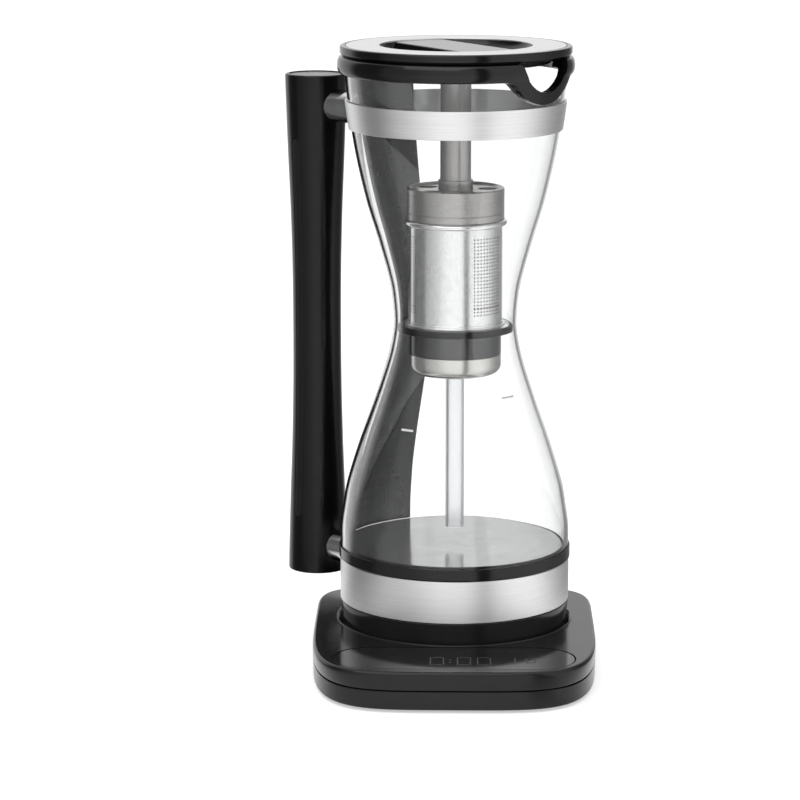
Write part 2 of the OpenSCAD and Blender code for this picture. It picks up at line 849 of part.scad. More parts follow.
// Steel floor of the lower chamber
module heating_plate() {
    color("#b9babc") on_axis() spun([[0, plate_top - plate_thickness], [0, plate_top], [plate_radius, plate_top],
        [plate_radius, cup_top], [plate_radius - plate_skirt, cup_top],
        [plate_radius - plate_skirt, plate_top - plate_thickness]]);
}

// Brushed band round the cup
module lower_band() {
    color("#c9c9c9") on_axis() difference() {
        ring(cup_radius, cup_radius - band_thickness, band_low + touch, cup_top - touch);
        rod(handle_azimuth, lower_arm_z, spigot_radius + touch, 0, cup_radius + over);
    }
}

// Soft ring that seals the glass on the cup
module seal_ring() {
    color("#0f0f0f") on_axis() spun([[plate_radius + touch, cup_top], [seal_outer_radius - seal_edge, cup_top],
        [seal_outer_radius, cup_top + seal_edge], [seal_outer_radius, seal_top - seal_edge],
        [seal_outer_radius - seal_edge, seal_top], [glass_foot_radius + touch, seal_top],
        [glass_foot_radius + touch, glass_foot], [glass_foot_radius - glass_wall - touch, glass_foot],
        [glass_foot_radius - glass_wall - touch, seal_top - seal_edge], [plate_radius + touch, seal_top - seal_edge]]);
}

module glass_form(grow) {
    top = glass_rim + grow;
    difference() {
        spun(concat([[glass_foot_radius - glass_wall - grow, glass_foot], [glass_foot_radius + grow, glass_foot]],
            glass_line(seal_top, top, grow),
            backwards(glass_line(seal_top, top, -glass_wall - grow))));
        rod(spout_azimuth, spout_notch_z, spout_notch_radius - grow, glass_waist_radius, collar_radius + over);
    }
}

// Hourglass of clear glass, notched at the spout
module glass_body() {
    color("#dfeaf0", 0.35) on_axis() glass_form(0);
}

// Curved black shield that backs the glass on the handle's side
module heat_shield() {
    low = seal_top + touch;
    high = collar_low - touch;
    color("#151515") on_axis() difference() {
        sector(concat(glass_line(low, high, touch), backwards(glass_line(low, high, touch + shield_thickness))),
            shield_azimuth, shield_angle);
        rod(handle_azimuth, upper_arm_z, spigot_radius + touch, 0, collar_radius + over);
    }
}

// Brushed band round the upper glass, from one edge of the shield to the other
module upper_band() {
    edge_gap = 0.4;
    color("#c9c9c9") on_axis() sector(concat(glass_line(upper_band_low, band_high, touch, 6),
        backwards(glass_line(upper_band_low, band_high, touch + band_thickness, 6))),
        shield_azimuth + 180, 360 - shield_angle - edge_gap);
}

// Arm from the handle to a seat of radius r1, with a thinner spigot at each end
module arm(z, radius, seat, inner_end) {
    difference() {
        union() {
            rod(handle_azimuth, z, radius, seat, handle_distance - handle_waist_radius + handle_wall);
            toward(handle_azimuth) translate([0, -seat, z]) rotate([90, 0, 0])
                cylinder(r1 = radius + arm_flare, r2 = radius, h = arm_flare_length);
            rod(handle_azimuth, z, spigot_radius, inner_end, handle_distance - core_radius + 1);
        }
        rod(handle_azimuth, z, screw_radius, handle_distance - core_radius - arm_thread, handle_distance + over);
        rod(handle_azimuth, z, spigot_radius + touch, 0, inner_end);
        children();
    }
}

function handle_profile(grow) = concat([[0, handle_low]],
    [for (i = [0:2 * handle_steps]) let (z = handle_low + handle_length * i / (2 * handle_steps))
        [handle_radius(z) + grow, z]], [[0, handle_high]]);

// Upper arm, seated on the heat shield
module upper_arm() {
    seat = glass_radius(upper_arm_z) + touch + shield_thickness - arm_sink;
    color("#77797b") on_axis() arm(upper_arm_z, upper_arm_radius, seat,
        glass_radius(upper_arm_z + spigot_radius) + touch) {
        difference() {
            spun(concat([[spigot_radius, upper_arm_z - arm_cut]],
                glass_line(upper_arm_z - arm_cut, upper_arm_z + arm_cut, touch * 2 + shield_thickness, 8),
                [[spigot_radius, upper_arm_z + arm_cut]]));
            rod(handle_azimuth, upper_arm_z, spigot_radius, 0, handle_distance);
        }
        handle_cavity_cut(upper_arm_z);
    }
}

// Lower arm, seated on the lower band
module lower_arm() {
    color("#77797b") on_axis() arm(lower_arm_z, lower_arm_radius, cup_radius - over,
        cup_inner_radius + over) {
        difference() {
            disc(cup_radius + touch, lower_arm_z - arm_cut, lower_arm_z + arm_cut);
            rod(handle_azimuth, lower_arm_z, spigot_radius, 0, handle_distance);
        }
        handle_cavity_cut(lower_arm_z);
    }
}

// Part of an arm that would reach into the handle's wall, all but its spigot
module handle_cavity_cut(z) {
    difference() {
        translate([handle_x, handle_y, 0]) disc(handle_radius(z) - arm_cavity, z - arm_cut, z + arm_cut);
        rod(handle_azimuth, z, spigot_radius, 0, handle_distance + over);
    }
}

// Tapered hollow handle
module handle_shell() {
    color("#0e0e0e") on_axis() difference() {
        translate([handle_x, handle_y, 0]) difference() {
            intersection() {
                spun(handle_profile(0));
                spun([[0, handle_low], [handle_bottom_radius - handle_edge, handle_low],
                    [handle_bottom_radius, handle_low + handle_edge], [handle_end_radius, handle_middle],
                    [handle_top_radius, handle_high - handle_edge],
                    [handle_top_radius - handle_edge, handle_high], [0, handle_high]]);
            }
            spun(handle_bore());
            for (side = [-1, 1]) inlay_form(side, touch);
        }
        for (a = [[upper_arm_z, upper_arm_radius], [lower_arm_z, lower_arm_radius]])
            rod(handle_azimuth, a[0], a[1] + touch, 0, handle_distance);
    }
}

// Bore of the handle shell, stepped for the two end caps
function handle_bore() = concat(
    [[0, handle_low - over], [handle_bottom_radius - handle_wall + cap_ledge, handle_low - over],
        [handle_bottom_radius - handle_wall + cap_ledge, handle_low + cap_thickness]],
    [for (i = [1:2 * handle_steps - 1]) let (z = handle_low + handle_length * i / (2 * handle_steps))
        [handle_radius(z) - handle_wall, z]],
    [[handle_top_radius - handle_wall + cap_ledge, handle_high - cap_thickness - cap_recess],
        [handle_top_radius - handle_wall + cap_ledge, handle_high + over], [0, handle_high + over]]);

// Long rounded inlay in the side of the handle
module inlay_form(side, grow) {
    intersection() {
        toward(handle_azimuth + side * inlay_swing) translate([0, -handle_waist_radius / 2, inlay_centre_z])
            rotate([90, 0, 0]) linear_extrude(handle_end_radius)
                stadium(inlay_width + 2 * grow, inlay_length + 2 * grow, inlay_width / 2 + grow - slice);
        difference() {
            spun(handle_profile(grow - touch));
            spun(handle_profile(-inlay_depth - grow));
        }
    }
}

// Steel rod down the middle of the handle that both arms go into
module handle_core() {
    color("#8f8f8f") on_axis() difference() {
        translate([handle_x, handle_y, 0]) disc(core_radius, handle_low + cap_thickness, handle_high
            - cap_thickness - cap_recess);
        for (z = [upper_arm_z, lower_arm_z]) {
            rod(handle_azimuth, z, spigot_radius + touch, 0, handle_distance - core_radius + 1 + touch);
            rod(handle_azimuth, z, screw_radius + touch, 0, handle_distance + 2 * core_radius);
        }
    }
}

// Inlays in both sides of the handle
module handle_inlays() {
    color("#1d1d1d") on_axis() translate([handle_x, handle_y, 0])
        for (side = [-1, 1]) inlay_form(side, 0);
}

// Disc that closes the handle at the top
module handle_top_cap() {
    color("#1b1b1b") on_axis() translate([handle_x, handle_y, 0])
        disc(handle_top_radius - handle_wall + cap_ledge - touch, handle_high - cap_thickness - cap_recess,
            handle_high - cap_recess);
}

// Disc that closes the handle at the bottom
module handle_bottom_cap() {
    color("#1b1b1b") on_axis() translate([handle_x, handle_y, 0])
        disc(handle_bottom_radius - handle_wall + cap_ledge - touch, handle_low, handle_low + cap_thickness);
}

// Screws that pull the arms into the handle's core
module arm_screws() {
    color("#8a8a8a") on_axis() for (z = [upper_arm_z, lower_arm_z]) {
        rod(handle_azimuth, z, screw_radius - touch, handle_distance - core_radius - arm_thread + over,
            handle_distance + core_radius + 1);
        rod(handle_azimuth, z, screw_head_radius, handle_distance + core_radius + touch,
            handle_distance + core_radius + touch + screw_head_height);
    }
}

// Black collar on the glass rim, with the hanging spout loop
module collar() {
    steps = 10;
    bulge = 1.6;
    color("#0d0d0d") on_axis() difference() {
        union() {
            spun(concat([[mouth_radius, collar_web], [mouth_radius, lid_seat], [collar_radius - 2.2, lid_seat]],
                [for (i = [0:steps]) let (a = 75 - 150 * i / steps) [collar_radius + bulge * (cos(a) - 1),
                    lid_seat - collar_height * (0.5 - 0.48 * sin(a))]],
                [[glass_radius(collar_low) + touch, collar_low],
                    [glass_radius(glass_rim) + touch, collar_web]]));
            intersection() {
                spun(concat(glass_line(glass_waist, lid_seat - slice, spout_outer_skin),
                    backwards(glass_line(glass_waist, lid_seat - slice, -glass_wall - spout_inner_skin))));
                rod(spout_azimuth, spout_outer_z, spout_outer_radius, glass_waist_radius, collar_radius + over);
            }
        }
        glass_form(touch);
        rod(spout_azimuth, spout_window_z, spout_window_radius, glass_waist_radius, collar_radius + over);
        rod(spout_azimuth, spout_relief_z, spout_relief_radius, glass_waist_radius, spout_relief_reach);
    }
}

// Black hoop wedged in the glass waist
module waist_hoop() {
    color("#0c0c0c") on_axis() ring(hoop_outer_radius, hoop_outer_radius - hoop_width, hoop_low, hoop_top);
}

// Clear web of the waist seal that carries the basket
module waist_web() {
    color("#f2f4f5", 0.3) on_axis() ring(hoop_outer_radius - hoop_width, web_inner_radius,
        hoop_top - web_thickness, hoop_top);
}

// Steel wall of the basket with its rolled bead, ledge and neck
module basket_wall() {
    color("#d0d1d2") on_axis() {
        spun([[neck_radius - basket_wall_thickness, neck_low], [neck_radius, neck_low],
            [neck_radius, basket_seat], [ledge_radius, basket_seat], [ledge_radius, basket_seat + basket_ledge],
            [basket_radius, basket_seat + basket_ledge], [basket_radius, basket_top + basket_bead],
            [basket_radius - basket_wall_thickness, basket_top + basket_bead],
            [basket_radius - basket_wall_thickness, basket_seat + basket_ledge - basket_wall_thickness],
            [neck_radius - basket_wall_thickness, basket_seat + basket_ledge - basket_wall_thickness]]);
        rotate_extrude() translate([basket_radius + bead_out, basket_top + basket_bead]) circle(r = basket_bead);
    }
}

// Black sleeve round the basket's neck
module basket_sleeve() {
    color("#161616") on_axis() ring(sleeve_radius, neck_radius + touch, sleeve_low, basket_seat - touch);
}

// Steel cup that ends the basket at the bottom
module bottom_cup() {
    corner_steps = 8;
    color("#c3c3c3") on_axis() spun(concat(
        [[bush_radius - bush_groove + touch, cup_low]],
        [for (i = [0:corner_steps]) let (a = -90 + 90 * i / corner_steps)
            [sleeve_radius - cup_corner + cup_corner * cos(a), cup_low + cup_corner + cup_corner * sin(a)]],
        [[sleeve_radius, sleeve_low - touch], [neck_radius + touch, sleeve_low - touch]],
        [for (i = [corner_steps:-1:0]) let (a = -90 + 90 * i / corner_steps, r = cup_corner - cup_sheet)
            [neck_radius + touch - r + r * cos(a), cup_low + cup_floor_thickness + r + r * sin(a)]],
        [[bush_radius - bush_groove + touch, cup_low + cup_floor_thickness]]));
}

// Clear tube that the hot water rises through
module siphon_tube() {
    color("#eef1f2", 0.5) on_axis() ring(siphon_radius, siphon_radius - siphon_wall, siphon_low, siphon_top);
}

// Soft bush that holds the tube in the cup's floor
module tube_bush() {
    color("#e6e6e6") on_axis() spun([[siphon_radius + touch / 2, cup_low - bush_lip],
        [bush_radius, cup_low - bush_lip], [bush_radius, cup_low], [bush_radius - bush_groove, cup_low],
        [bush_radius - bush_groove, cup_low + cup_floor_thickness], [bush_radius, cup_low + cup_floor_thickness],
        [bush_radius, cup_low + cup_floor_thickness + bush_lip],
        [siphon_radius + touch / 2, cup_low + cup_floor_thickness + bush_lip]]);
}

// Fine steel filter above the tube's mouth
module filter_disc() {
    color("#a8a8a8") on_axis() disc(neck_radius - basket_wall_thickness - touch / 2, sleeve_low - filter_thickness,
        sleeve_low);
}

// Steel cap of the basket, with its ring of holes
module basket_cap() {
    color("#a9a7a4") on_axis() difference() {
        spun([[0, cap_top - cap_sheet], [0, cap_top], [cap_radius - cap_edge, cap_top], [cap_radius, cap_top - cap_edge],
            [cap_radius, cap_groove_z + cap_groove], [cap_radius - cap_groove, cap_groove_z + cap_groove],
            [cap_radius - cap_groove, cap_groove_z], [cap_radius, cap_groove_z], [cap_radius, cap_low],
            [cap_plug_radius, cap_low], [cap_plug_radius, cap_low - cap_plug_height],
            [cap_plug_radius - cap_plug_sheet, cap_low - cap_plug_height],
            [cap_plug_radius - cap_plug_sheet, cap_top - cap_sheet]]);
        for (i = [0:cap_hole_count - 1]) toward(cap_hole_start + 360 * i / cap_hole_count)
            translate([0, -cap_hole_pitch, 0]) disc(cap_hole_radius, cap_top - cap_sheet - over, cap_top + over);
        disc(stem_bore + touch, cap_top - cap_sheet - over, cap_top + over);
    }
}

// Upright stem from the cap to the lid
module stem_tube() {
    color("#8f8d8a") on_axis() difference() {
        disc(stem_radius, cap_top, stem_top);
        disc(stem_radius - stem_wall, cap_top + stem_plug_height, stem_top - over);
        disc(stem_bore, cap_top - over, cap_top + stem_plug_height - over);
    }
}

// Ring round the stem's foot
module stem_ring() {
    color("#8a8885") on_axis() ring(stem_radius + stem_ring_wall, stem_radius + running, cap_top, cap_top + stem_ring_height);
}

// Screw that holds the stem on the cap
module stem_screw() {
    color("#8a8a8a") on_axis() {
        disc(stem_bore * 2, cap_top - cap_sheet - stem_screw_head, cap_top - cap_sheet);
        disc(stem_bore - touch, cap_top - cap_sheet - slice, cap_top + stem_plug_height - 2 * over);
    }
}

// Soft ring that stays still while the lid turns in it
module lid_seal() {
    color("#202020") on_axis() ring(mouth_radius - free_gap, plug_skirt_radius + running, seal_low, seal_high);
}

// Black lid: rim, recess bowl and plug
module lid_body() {
    half = grip_width / 2 - grip_side_gap;
    roof = lid_seat + lid_roof;
    color("#0d0d0d") on_axis() {
        difference() {
            spun(concat(bowl(lid_sheet, acos((lid_top - roof) / (recess_depth + lid_sheet))),
                [[plug_skirt_radius - plug_skirt_wall, roof],
                    [plug_skirt_radius - plug_skirt_wall, plug_low], [lip_radius, plug_low],
                    [lip_radius, seal_low - touch], [plug_skirt_radius, seal_low - touch],
                    [plug_skirt_radius, lid_seat], [lid_radius - lid_undercut, lid_seat],
                    [lid_radius, lid_seat + lid_undercut], [lid_radius, lid_top - lid_edge / 2],
                    [lid_radius - lid_edge / 2, lid_top], [0, lid_top]]));
            spun(concat(bowl(0, 90), [[recess_radius, lid_top + over], [0, lid_top + over]]));
            ring(lid_radius - plate_rim, recess_radius - over, lid_top - plate_depth, lid_top + over);
        }
        intersection() {
            spun(concat(bowl(slice, 90), [[0, lid_top]]));
            toward(grip_azimuth) translate([-half, -lid_radius, recess_floor - over])
                cube([2 * half, 2 * lid_radius, grip_top - grip_skin - recess_floor + over]);
        }
    }
}

// Satin steel disc round the recess
module lid_plate() {
    color("#e4e4e3") on_axis() ring(lid_radius - plate_rim - touch / 2, recess_radius, lid_top - plate_depth, lid_top);
}

// Satin grey bar to hold the lid by
module lid_grip() {
    color("#9b9b9a") on_axis() intersection() {
        disc(recess_radius - grip_end_gap, grip_top - grip_skin, grip_top);
        toward(grip_azimuth) translate([-grip_width / 2, -lid_radius, grip_top - grip_skin - over])
            cube([grip_width, 2 * lid_radius, grip_skin + 2 * over]);
    }
}

base_lower_shell();
base_upper_shell();
control_window();
display_module();
touch_springs();
control_board();
power_board();
power_relay();
base_connector();
base_contacts();
base_feet();
base_screws();
cord_gland();
jug_cup();
jug_floor();
floor_screws();
jug_connector();
jug_contacts();
heating_element();
heat_spreader();
thermal_cutoff();
heating_plate();
lower_band();
seal_ring();
glass_body();
heat_shield();
upper_band();
upper_arm();
lower_arm();
handle_shell();
handle_core();
handle_inlays();
handle_top_cap();
handle_bottom_cap();
arm_screws();
collar();
waist_hoop();
waist_web();
basket_wall();
basket_sleeve();
bottom_cup();
siphon_tube();
tube_bush();
filter_disc();
basket_cap();
stem_tube();
stem_ring();
stem_screw();
lid_seal();
lid_body();
lid_plate();
lid_grip();
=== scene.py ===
import math

import bmesh
import bpy
from mathutils import Matrix, Vector


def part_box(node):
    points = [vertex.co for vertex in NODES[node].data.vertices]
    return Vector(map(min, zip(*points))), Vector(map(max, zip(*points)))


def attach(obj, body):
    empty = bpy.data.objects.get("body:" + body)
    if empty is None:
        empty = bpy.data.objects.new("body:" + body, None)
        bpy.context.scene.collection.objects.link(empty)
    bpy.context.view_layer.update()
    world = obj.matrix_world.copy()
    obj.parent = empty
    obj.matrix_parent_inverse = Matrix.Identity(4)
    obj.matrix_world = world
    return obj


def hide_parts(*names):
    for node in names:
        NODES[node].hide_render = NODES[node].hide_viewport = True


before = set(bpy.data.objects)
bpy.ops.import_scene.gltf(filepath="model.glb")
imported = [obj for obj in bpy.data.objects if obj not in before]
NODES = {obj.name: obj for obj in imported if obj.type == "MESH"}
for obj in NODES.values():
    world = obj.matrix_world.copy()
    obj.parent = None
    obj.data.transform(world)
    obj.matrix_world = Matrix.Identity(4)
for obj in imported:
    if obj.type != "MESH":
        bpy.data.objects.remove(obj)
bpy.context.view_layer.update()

MM = 0.001


# Frame: places and sizes of the CAD nodes, in millimetres
def corner(node, which):
    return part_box(node)[which] / MM


def low(node):
    return corner(node, 0).z


def high(node):
    return corner(node, 1).z


def middle(node):
    return (corner(node, 0) + corner(node, 1)) / 2


def radius(node):
    size = corner(node, 1) - corner(node, 0)
    return max(size.x, size.y) / 2


def extent(node):
    return low(node), high(node), radius(node)


AXIS = middle("waist_hoop")
HANDLE = middle("handle_top_cap")
SEGMENTS = 192


def azimuth_of(point):
    return math.degrees(math.atan2(point.x - AXIS.x, AXIS.y - point.y))


HANDLE_AZIMUTH = azimuth_of(HANDLE)


def toward(azimuth, reach, z, centre=AXIS):
    """Point at a distance from an upright axis, along an azimuth from the front towards the right."""
    a = math.radians(azimuth)
    return Vector((centre.x + reach * math.sin(a), centre.y - reach * math.cos(a), z))


# Materials
def material(name):
    mat = bpy.data.materials.new(name)
    mat.use_nodes = True
    tree = mat.node_tree
    return mat, tree, tree.nodes["Principled BSDF"]


def add(tree, kind, links=None, **values):
    """New node with its inputs set by name, and its sockets linked from others."""
    node = tree.nodes.new(kind)
    for key, value in values.items():
        if hasattr(node, key):
            setattr(node, key, value)
        else:
            node.inputs[key.replace("_", " ")].default_value = value
    for key, socket in (links or {}).items():
        tree.links.new(socket, node.inputs[key])
    return node


def math_node(tree, operation, a, b=None):
    node = tree.nodes.new("ShaderNodeMath")
    node.operation = operation
    for i, value in enumerate((a, b)):
        if value is None:
            continue
        if isinstance(value, (int, float)):
            node.inputs[i].default_value = value
        else:
            tree.links.new(value, node.inputs[i])
    return node.outputs[0]


def object_coords(tree):
    return tree.nodes.new("ShaderNodeTexCoord").outputs["Object"]


def length(tree, x, y):
    squares = [math_node(tree, "MULTIPLY", v, v) for v in (x, y)]
    return math_node(tree, "SQRT", math_node(tree, "ADD", *squares))


def around(tree, along, up):
    """Coordinates that run round the jug's axis: turn times along, height times up, and the radius."""
    split = add(tree, "ShaderNodeSeparateXYZ", {0: object_coords(tree)})
    x = math_node(tree, "SUBTRACT", split.outputs[0], AXIS.x * MM)
    y = math_node(tree, "SUBTRACT", split.outputs[1], AXIS.y * MM)
    turn = math_node(tree, "ARCTAN2", x, y)
    reach = length(tree, x, y)
    joined = add(tree, "ShaderNodeCombineXYZ", {
        0: math_node(tree, "MULTIPLY", turn, along),
        1: math_node(tree, "MULTIPLY", split.outputs[2], up),
        2: math_node(tree, "MULTIPLY", reach, up)})
    return joined.outputs[0]


def stretched(tree, scale):
    return add(tree, "ShaderNodeMapping", {"Vector": object_coords(tree)}, Scale=scale).outputs[0]


def noise(tree, vector, scale, detail=3.0, rough=0.55):
    node = add(tree, "ShaderNodeTexNoise", {"Vector": vector}, Scale=scale, Detail=detail, Roughness=rough)
    return node.outputs["Fac"]


def between(tree, factor, low_value, high_value, start=0.3, end=0.7):
    """Maps a noise to values between two limits."""
    node = add(tree, "ShaderNodeMapRange", {0: factor})
    for i, value in enumerate((start, end, low_value, high_value)):
        node.inputs[i + 1].default_value = value
    return node.outputs[0]


def tint(tree, factor, dark, light):
    node = tree.nodes.new("ShaderNodeValToRGB")
    node.color_ramp.elements[0].position = 0.3
    node.color_ramp.elements[1].position = 0.7
    node.color_ramp.elements[0].color = (*dark, 1)
    node.color_ramp.elements[1].color = (*light, 1)
    tree.links.new(factor, node.inputs[0])
    return node.outputs[0]


def turned(along, up):
    """Coordinates for scratches round the jug's axis."""
    return lambda tree: around(tree, along, up)


def straight(*scale):
    """Coordinates for scratches along a straight line, or for grain in all directions."""
    return lambda tree: stretched(tree, scale)


def bump(tree, bsdf, height, distance):
    node = add(tree, "ShaderNodeBump", {"Height": height}, Distance=distance, Strength=1.0)
    tree.links.new(node.outputs[0], bsdf.inputs["Normal"])


def moulded(name, colour, roughness, grain=0.0, grain_scale=2500.0, specular=0.5):
    """Moulded plastic or rubber: slight mottling, uneven gloss and, where asked, a fine grain."""
    mat, tree, bsdf = material(name)
    bsdf.inputs["Specular IOR Level"].default_value = specular
    spots = noise(tree, object_coords(tree), 60.0)
    dark = tuple(c * 0.85 for c in colour)
    light = tuple(min(1.0, c * 1.2) for c in colour)
    tree.links.new(tint(tree, spots, dark, light), bsdf.inputs["Base Color"])
    gloss = noise(tree, object_coords(tree), 220.0, 4.0)
    tree.links.new(between(tree, gloss, roughness * 0.85, roughness * 1.15), bsdf.inputs["Roughness"])
    if grain:
        bump(tree, bsdf, noise(tree, object_coords(tree), grain_scale, 2.0), grain * MM)
    return mat


FINE_SHARE = 0.7


def brushed(name, colour, roughness, coords, depth=0.004, contrast=0.12):
    """Brushed metal: long fine scratches along the coordinates' first axis."""
    mat, tree, bsdf = material(name)
    vector = coords(tree)
    fine = noise(tree, vector, 1.0, 6.0, 0.7)
    broad = noise(tree, vector, 0.23, 2.0)
    mixed = math_node(tree, "ADD", math_node(tree, "MULTIPLY", fine, FINE_SHARE),
                      math_node(tree, "MULTIPLY", broad, 1 - FINE_SHARE))
    dark = tuple(c * (1 - contrast) for c in colour)
    light = tuple(min(1.0, c * (1 + contrast)) for c in colour)
    tree.links.new(tint(tree, mixed, dark, light), bsdf.inputs["Base Color"])
    tree.links.new(between(tree, mixed, roughness * 0.8, roughness * 1.2), bsdf.inputs["Roughness"])
    bsdf.inputs["Metallic"].default_value = 1.0
    bump(tree, bsdf, fine, depth * MM)
    return mat


def clear(name, colour, roughness, ior, streaks=0.0):
    """Clear glass or silicone, with faint unevenness in its tint and surface."""
    mat, tree, bsdf = material(name)
    haze = noise(tree, object_coords(tree), 25.0)
    dark = tuple(c * 0.985 for c in colour)
    tree.links.new(tint(tree, haze, dark, colour), bsdf.inputs["Base Color"])
    if roughness:
        tree.links.new(between(tree, haze, roughness * 0.9, roughness * 1.1), bsdf.inputs["Roughness"])
    else:
        bsdf.inputs["Roughness"].default_value = 0.0
    bsdf.inputs["Transmission Weight"].default_value = 1.0
    bsdf.inputs["IOR"].default_value = ior
    if streaks:
        bump(tree, bsdf, noise(tree, stretched(tree, (30, 30, 8)), 1.0, 1.0), streaks * MM)
    return mat


GLOSS_BLACK = moulded("gloss_black_plastic", (0.0045, 0.0045, 0.0048), 0.12, specular=0.4)
CUP_BLACK = moulded("cup_black_plastic", (0.014, 0.014, 0.0145), 0.14, specular=0.4)
CASING_BLACK = moulded("casing_black_plastic", (0.012, 0.012, 0.0125), 0.16, specular=0.3)
HANDLE_BLACK = moulded("handle_black_plastic", (0.004, 0.004, 0.0042), 0.22, specular=0.3)
INLAY_BLACK = moulded("inlay_black", (0.008, 0.008, 0.0083), 0.4, specular=0.4)
SHIELD_BLACK = moulded("shield_black_plastic", (0.006, 0.006, 0.0063), 0.25, specular=0.45)
MATT_BLACK = moulded("matt_black_plastic", (0.016, 0.016, 0.017), 0.5, 0.02)
RUBBER_BLACK = moulded("black_rubber", (0.004, 0.004, 0.0042), 0.34, 0.01, specular=0.15)
FOOT_RUBBER = moulded("foot_rubber", (0.04, 0.04, 0.041), 0.7, 0.03)
WINDOW_BLACK = moulded("window_black", (0.015, 0.015, 0.0155), 0.1, specular=0.42)
DISPLAY_GREY = moulded("display_grey", (0.05, 0.05, 0.053), 0.5)
MARK_GREY = moulded("mark_grey", (0.034, 0.034, 0.035), 0.5)
PRINT_WHITE = moulded("print_white", (0.75, 0.75, 0.75), 0.5)
PRINT_GREY = moulded("print_grey", (0.45, 0.45, 0.45), 0.5)
BOARD_GREEN = moulded("board_green", (0.02, 0.12, 0.05), 0.45)
RELAY_BLUE = moulded("relay_blue", (0.02, 0.05, 0.11), 0.5)
CERAMIC = moulded("cream_ceramic", (0.68, 0.63, 0.54), 0.6)

BAND_STEEL = brushed("band_steel", (0.86, 0.86, 0.86), 0.4, turned(4.0, 9000.0), 0.0025)
PLATE_STEEL = brushed("floor_plate_steel", (0.47, 0.47, 0.47), 0.13, turned(1.6, 140.0), 0.0006, 0.16)
LID_STEEL = brushed("lid_steel", (0.80, 0.80, 0.80), 0.34, turned(4.0, 7000.0), 0.003)
GRIP_STEEL = brushed("grip_steel", (0.42, 0.42, 0.42), 0.36, straight(300, 3000, 300), 0.003)
BASKET_STEEL = brushed("basket_steel", (0.92, 0.92, 0.92), 0.2, turned(30.0, 900.0), 0.001)
CAP_STEEL = brushed("cap_steel", (0.46, 0.45, 0.44), 0.3, turned(12.0, 6000.0), 0.003)
STEM_STEEL = brushed("stem_steel", (0.40, 0.39, 0.385), 0.3, turned(60.0, 300.0), 0.003)
SLEEVE_BLACK = brushed("dark_sleeve", (0.105, 0.105, 0.108), 0.16, turned(12.0, 5000.0), 0.0008)
CUP_STEEL = brushed("bottom_cup_steel", (0.72, 0.71, 0.68), 0.2, turned(14.0, 1200.0), 0.0003, 0.05)
ARM_CHROME = brushed("arm_chrome", (0.72, 0.73, 0.74), 0.12, straight(200, 200, 200), 0.0005)
PLAIN_STEEL = brushed("plain_steel", (0.45, 0.46, 0.47), 0.3, straight(900, 900, 900), 0.002)
ELEMENT_STEEL = brushed("element_steel", (0.33, 0.32, 0.31), 0.4, straight(500, 500, 500), 0.004)
ALUMINIUM = brushed("rolled_aluminium", (0.72, 0.73, 0.74), 0.35, straight(80, 2500, 80), 0.003)
BRASS = brushed("contact_brass", (0.72, 0.53, 0.24), 0.25, straight(900, 900, 900), 0.001)
MESH_STEEL = brushed("filter_steel", (0.5, 0.5, 0.51), 0.35, straight(2500, 2500, 2500), 0.02)

CLEAR_GLASS = clear("clear_glass", (0.985, 0.99, 0.99), 0.0, 1.47)
CLEAR_WEB = clear("clear_silicone", (0.97, 0.975, 0.975), 0.05, 1.25)
FROSTED = clear("frosted_tube", (0.93, 0.935, 0.94), 0.32, 1.3)


# Mesh tools
def rounded(profile, step=14.0):
    """Closed outline of (r, z) or (r, z, fillet) corners, in mm, with its fillets as arcs.

    A corner without a fillet stays as it is.
    """
    points = []
    for i, entry in enumerate(profile):
        p = Vector(entry[:2])
        fillet = entry[2] if len(entry) > 2 else 0
        if not fillet:
            points.append(p)
            continue
        back = Vector(profile[i - 1][:2]) - p
        ahead = Vector(profile[(i + 1) % len(profile)][:2]) - p
        half = back.angle(ahead) / 2
        run = min(fillet / math.tan(half), back.length * 0.49, ahead.length * 0.49)
        size = run * math.tan(half)
        back.normalize()
        ahead.normalize()
        centre = p + (back + ahead).normalized() * size / math.sin(half)
        start, end = p + back * run - centre, p + ahead * run - centre
        turn = start.angle_signed(end)
        steps = max(2, math.ceil(abs(math.degrees(turn)) / step))
        for k in range(steps + 1):
            a = -turn * k / steps
            points.append(centre + Vector((start.x * math.cos(a) - start.y * math.sin(a),
                                           start.x * math.sin(a) + start.y * math.cos(a))))
    return points


def new_object(name, verts, faces):
    """Mesh object from points in mm, with its faces turned outwards."""
    mesh = bpy.data.meshes.new(name)
    mesh.from_pydata([Vector(v) * MM for v in verts], [], faces)
    piece = bpy.data.objects.new(name, mesh)
    bpy.context.scene.collection.objects.link(piece)
    bm = bmesh.new()
    bm.from_mesh(mesh)
    bmesh.ops.remove_doubles(bm, verts=bm.verts, dist=1e-7)
    bmesh.ops.delete(bm, geom=[e for e in bm.edges if not e.link_faces], context="EDGES")
    bmesh.ops.recalc_face_normals(bm, faces=bm.faces)
    bm.to_mesh(mesh)
    bm.free()
    return piece


def lathe(name, profile, centre=AXIS, segments=SEGMENTS, span=None):
    """Closed outline turned round an upright axis, all the way or over span = (azimuth, angle)."""
    outline = rounded(profile)
    azimuth, angle = span or (0.0, 360.0)
    count = segments if span is None else max(2, round(segments * angle / 360)) + 1
    verts, faces, n = [], [], len(outline)
    for i in range(count):
        share = i / count if span is None else i / (count - 1) - 0.5
        verts += [toward(azimuth + angle * share, p[0], p[1], centre) for p in outline]
    turns = count if span is None else count - 1
    for i in range(turns):
        a, b = i * n, (i + 1) % count * n
        faces += [(a + k, a + (k + 1) % n, b + (k + 1) % n, b + k) for k in range(n)]
    if span is not None:
        faces += [tuple(range(n)), tuple(range((count - 1) * n, count * n))]
    return new_object(name, verts, faces)


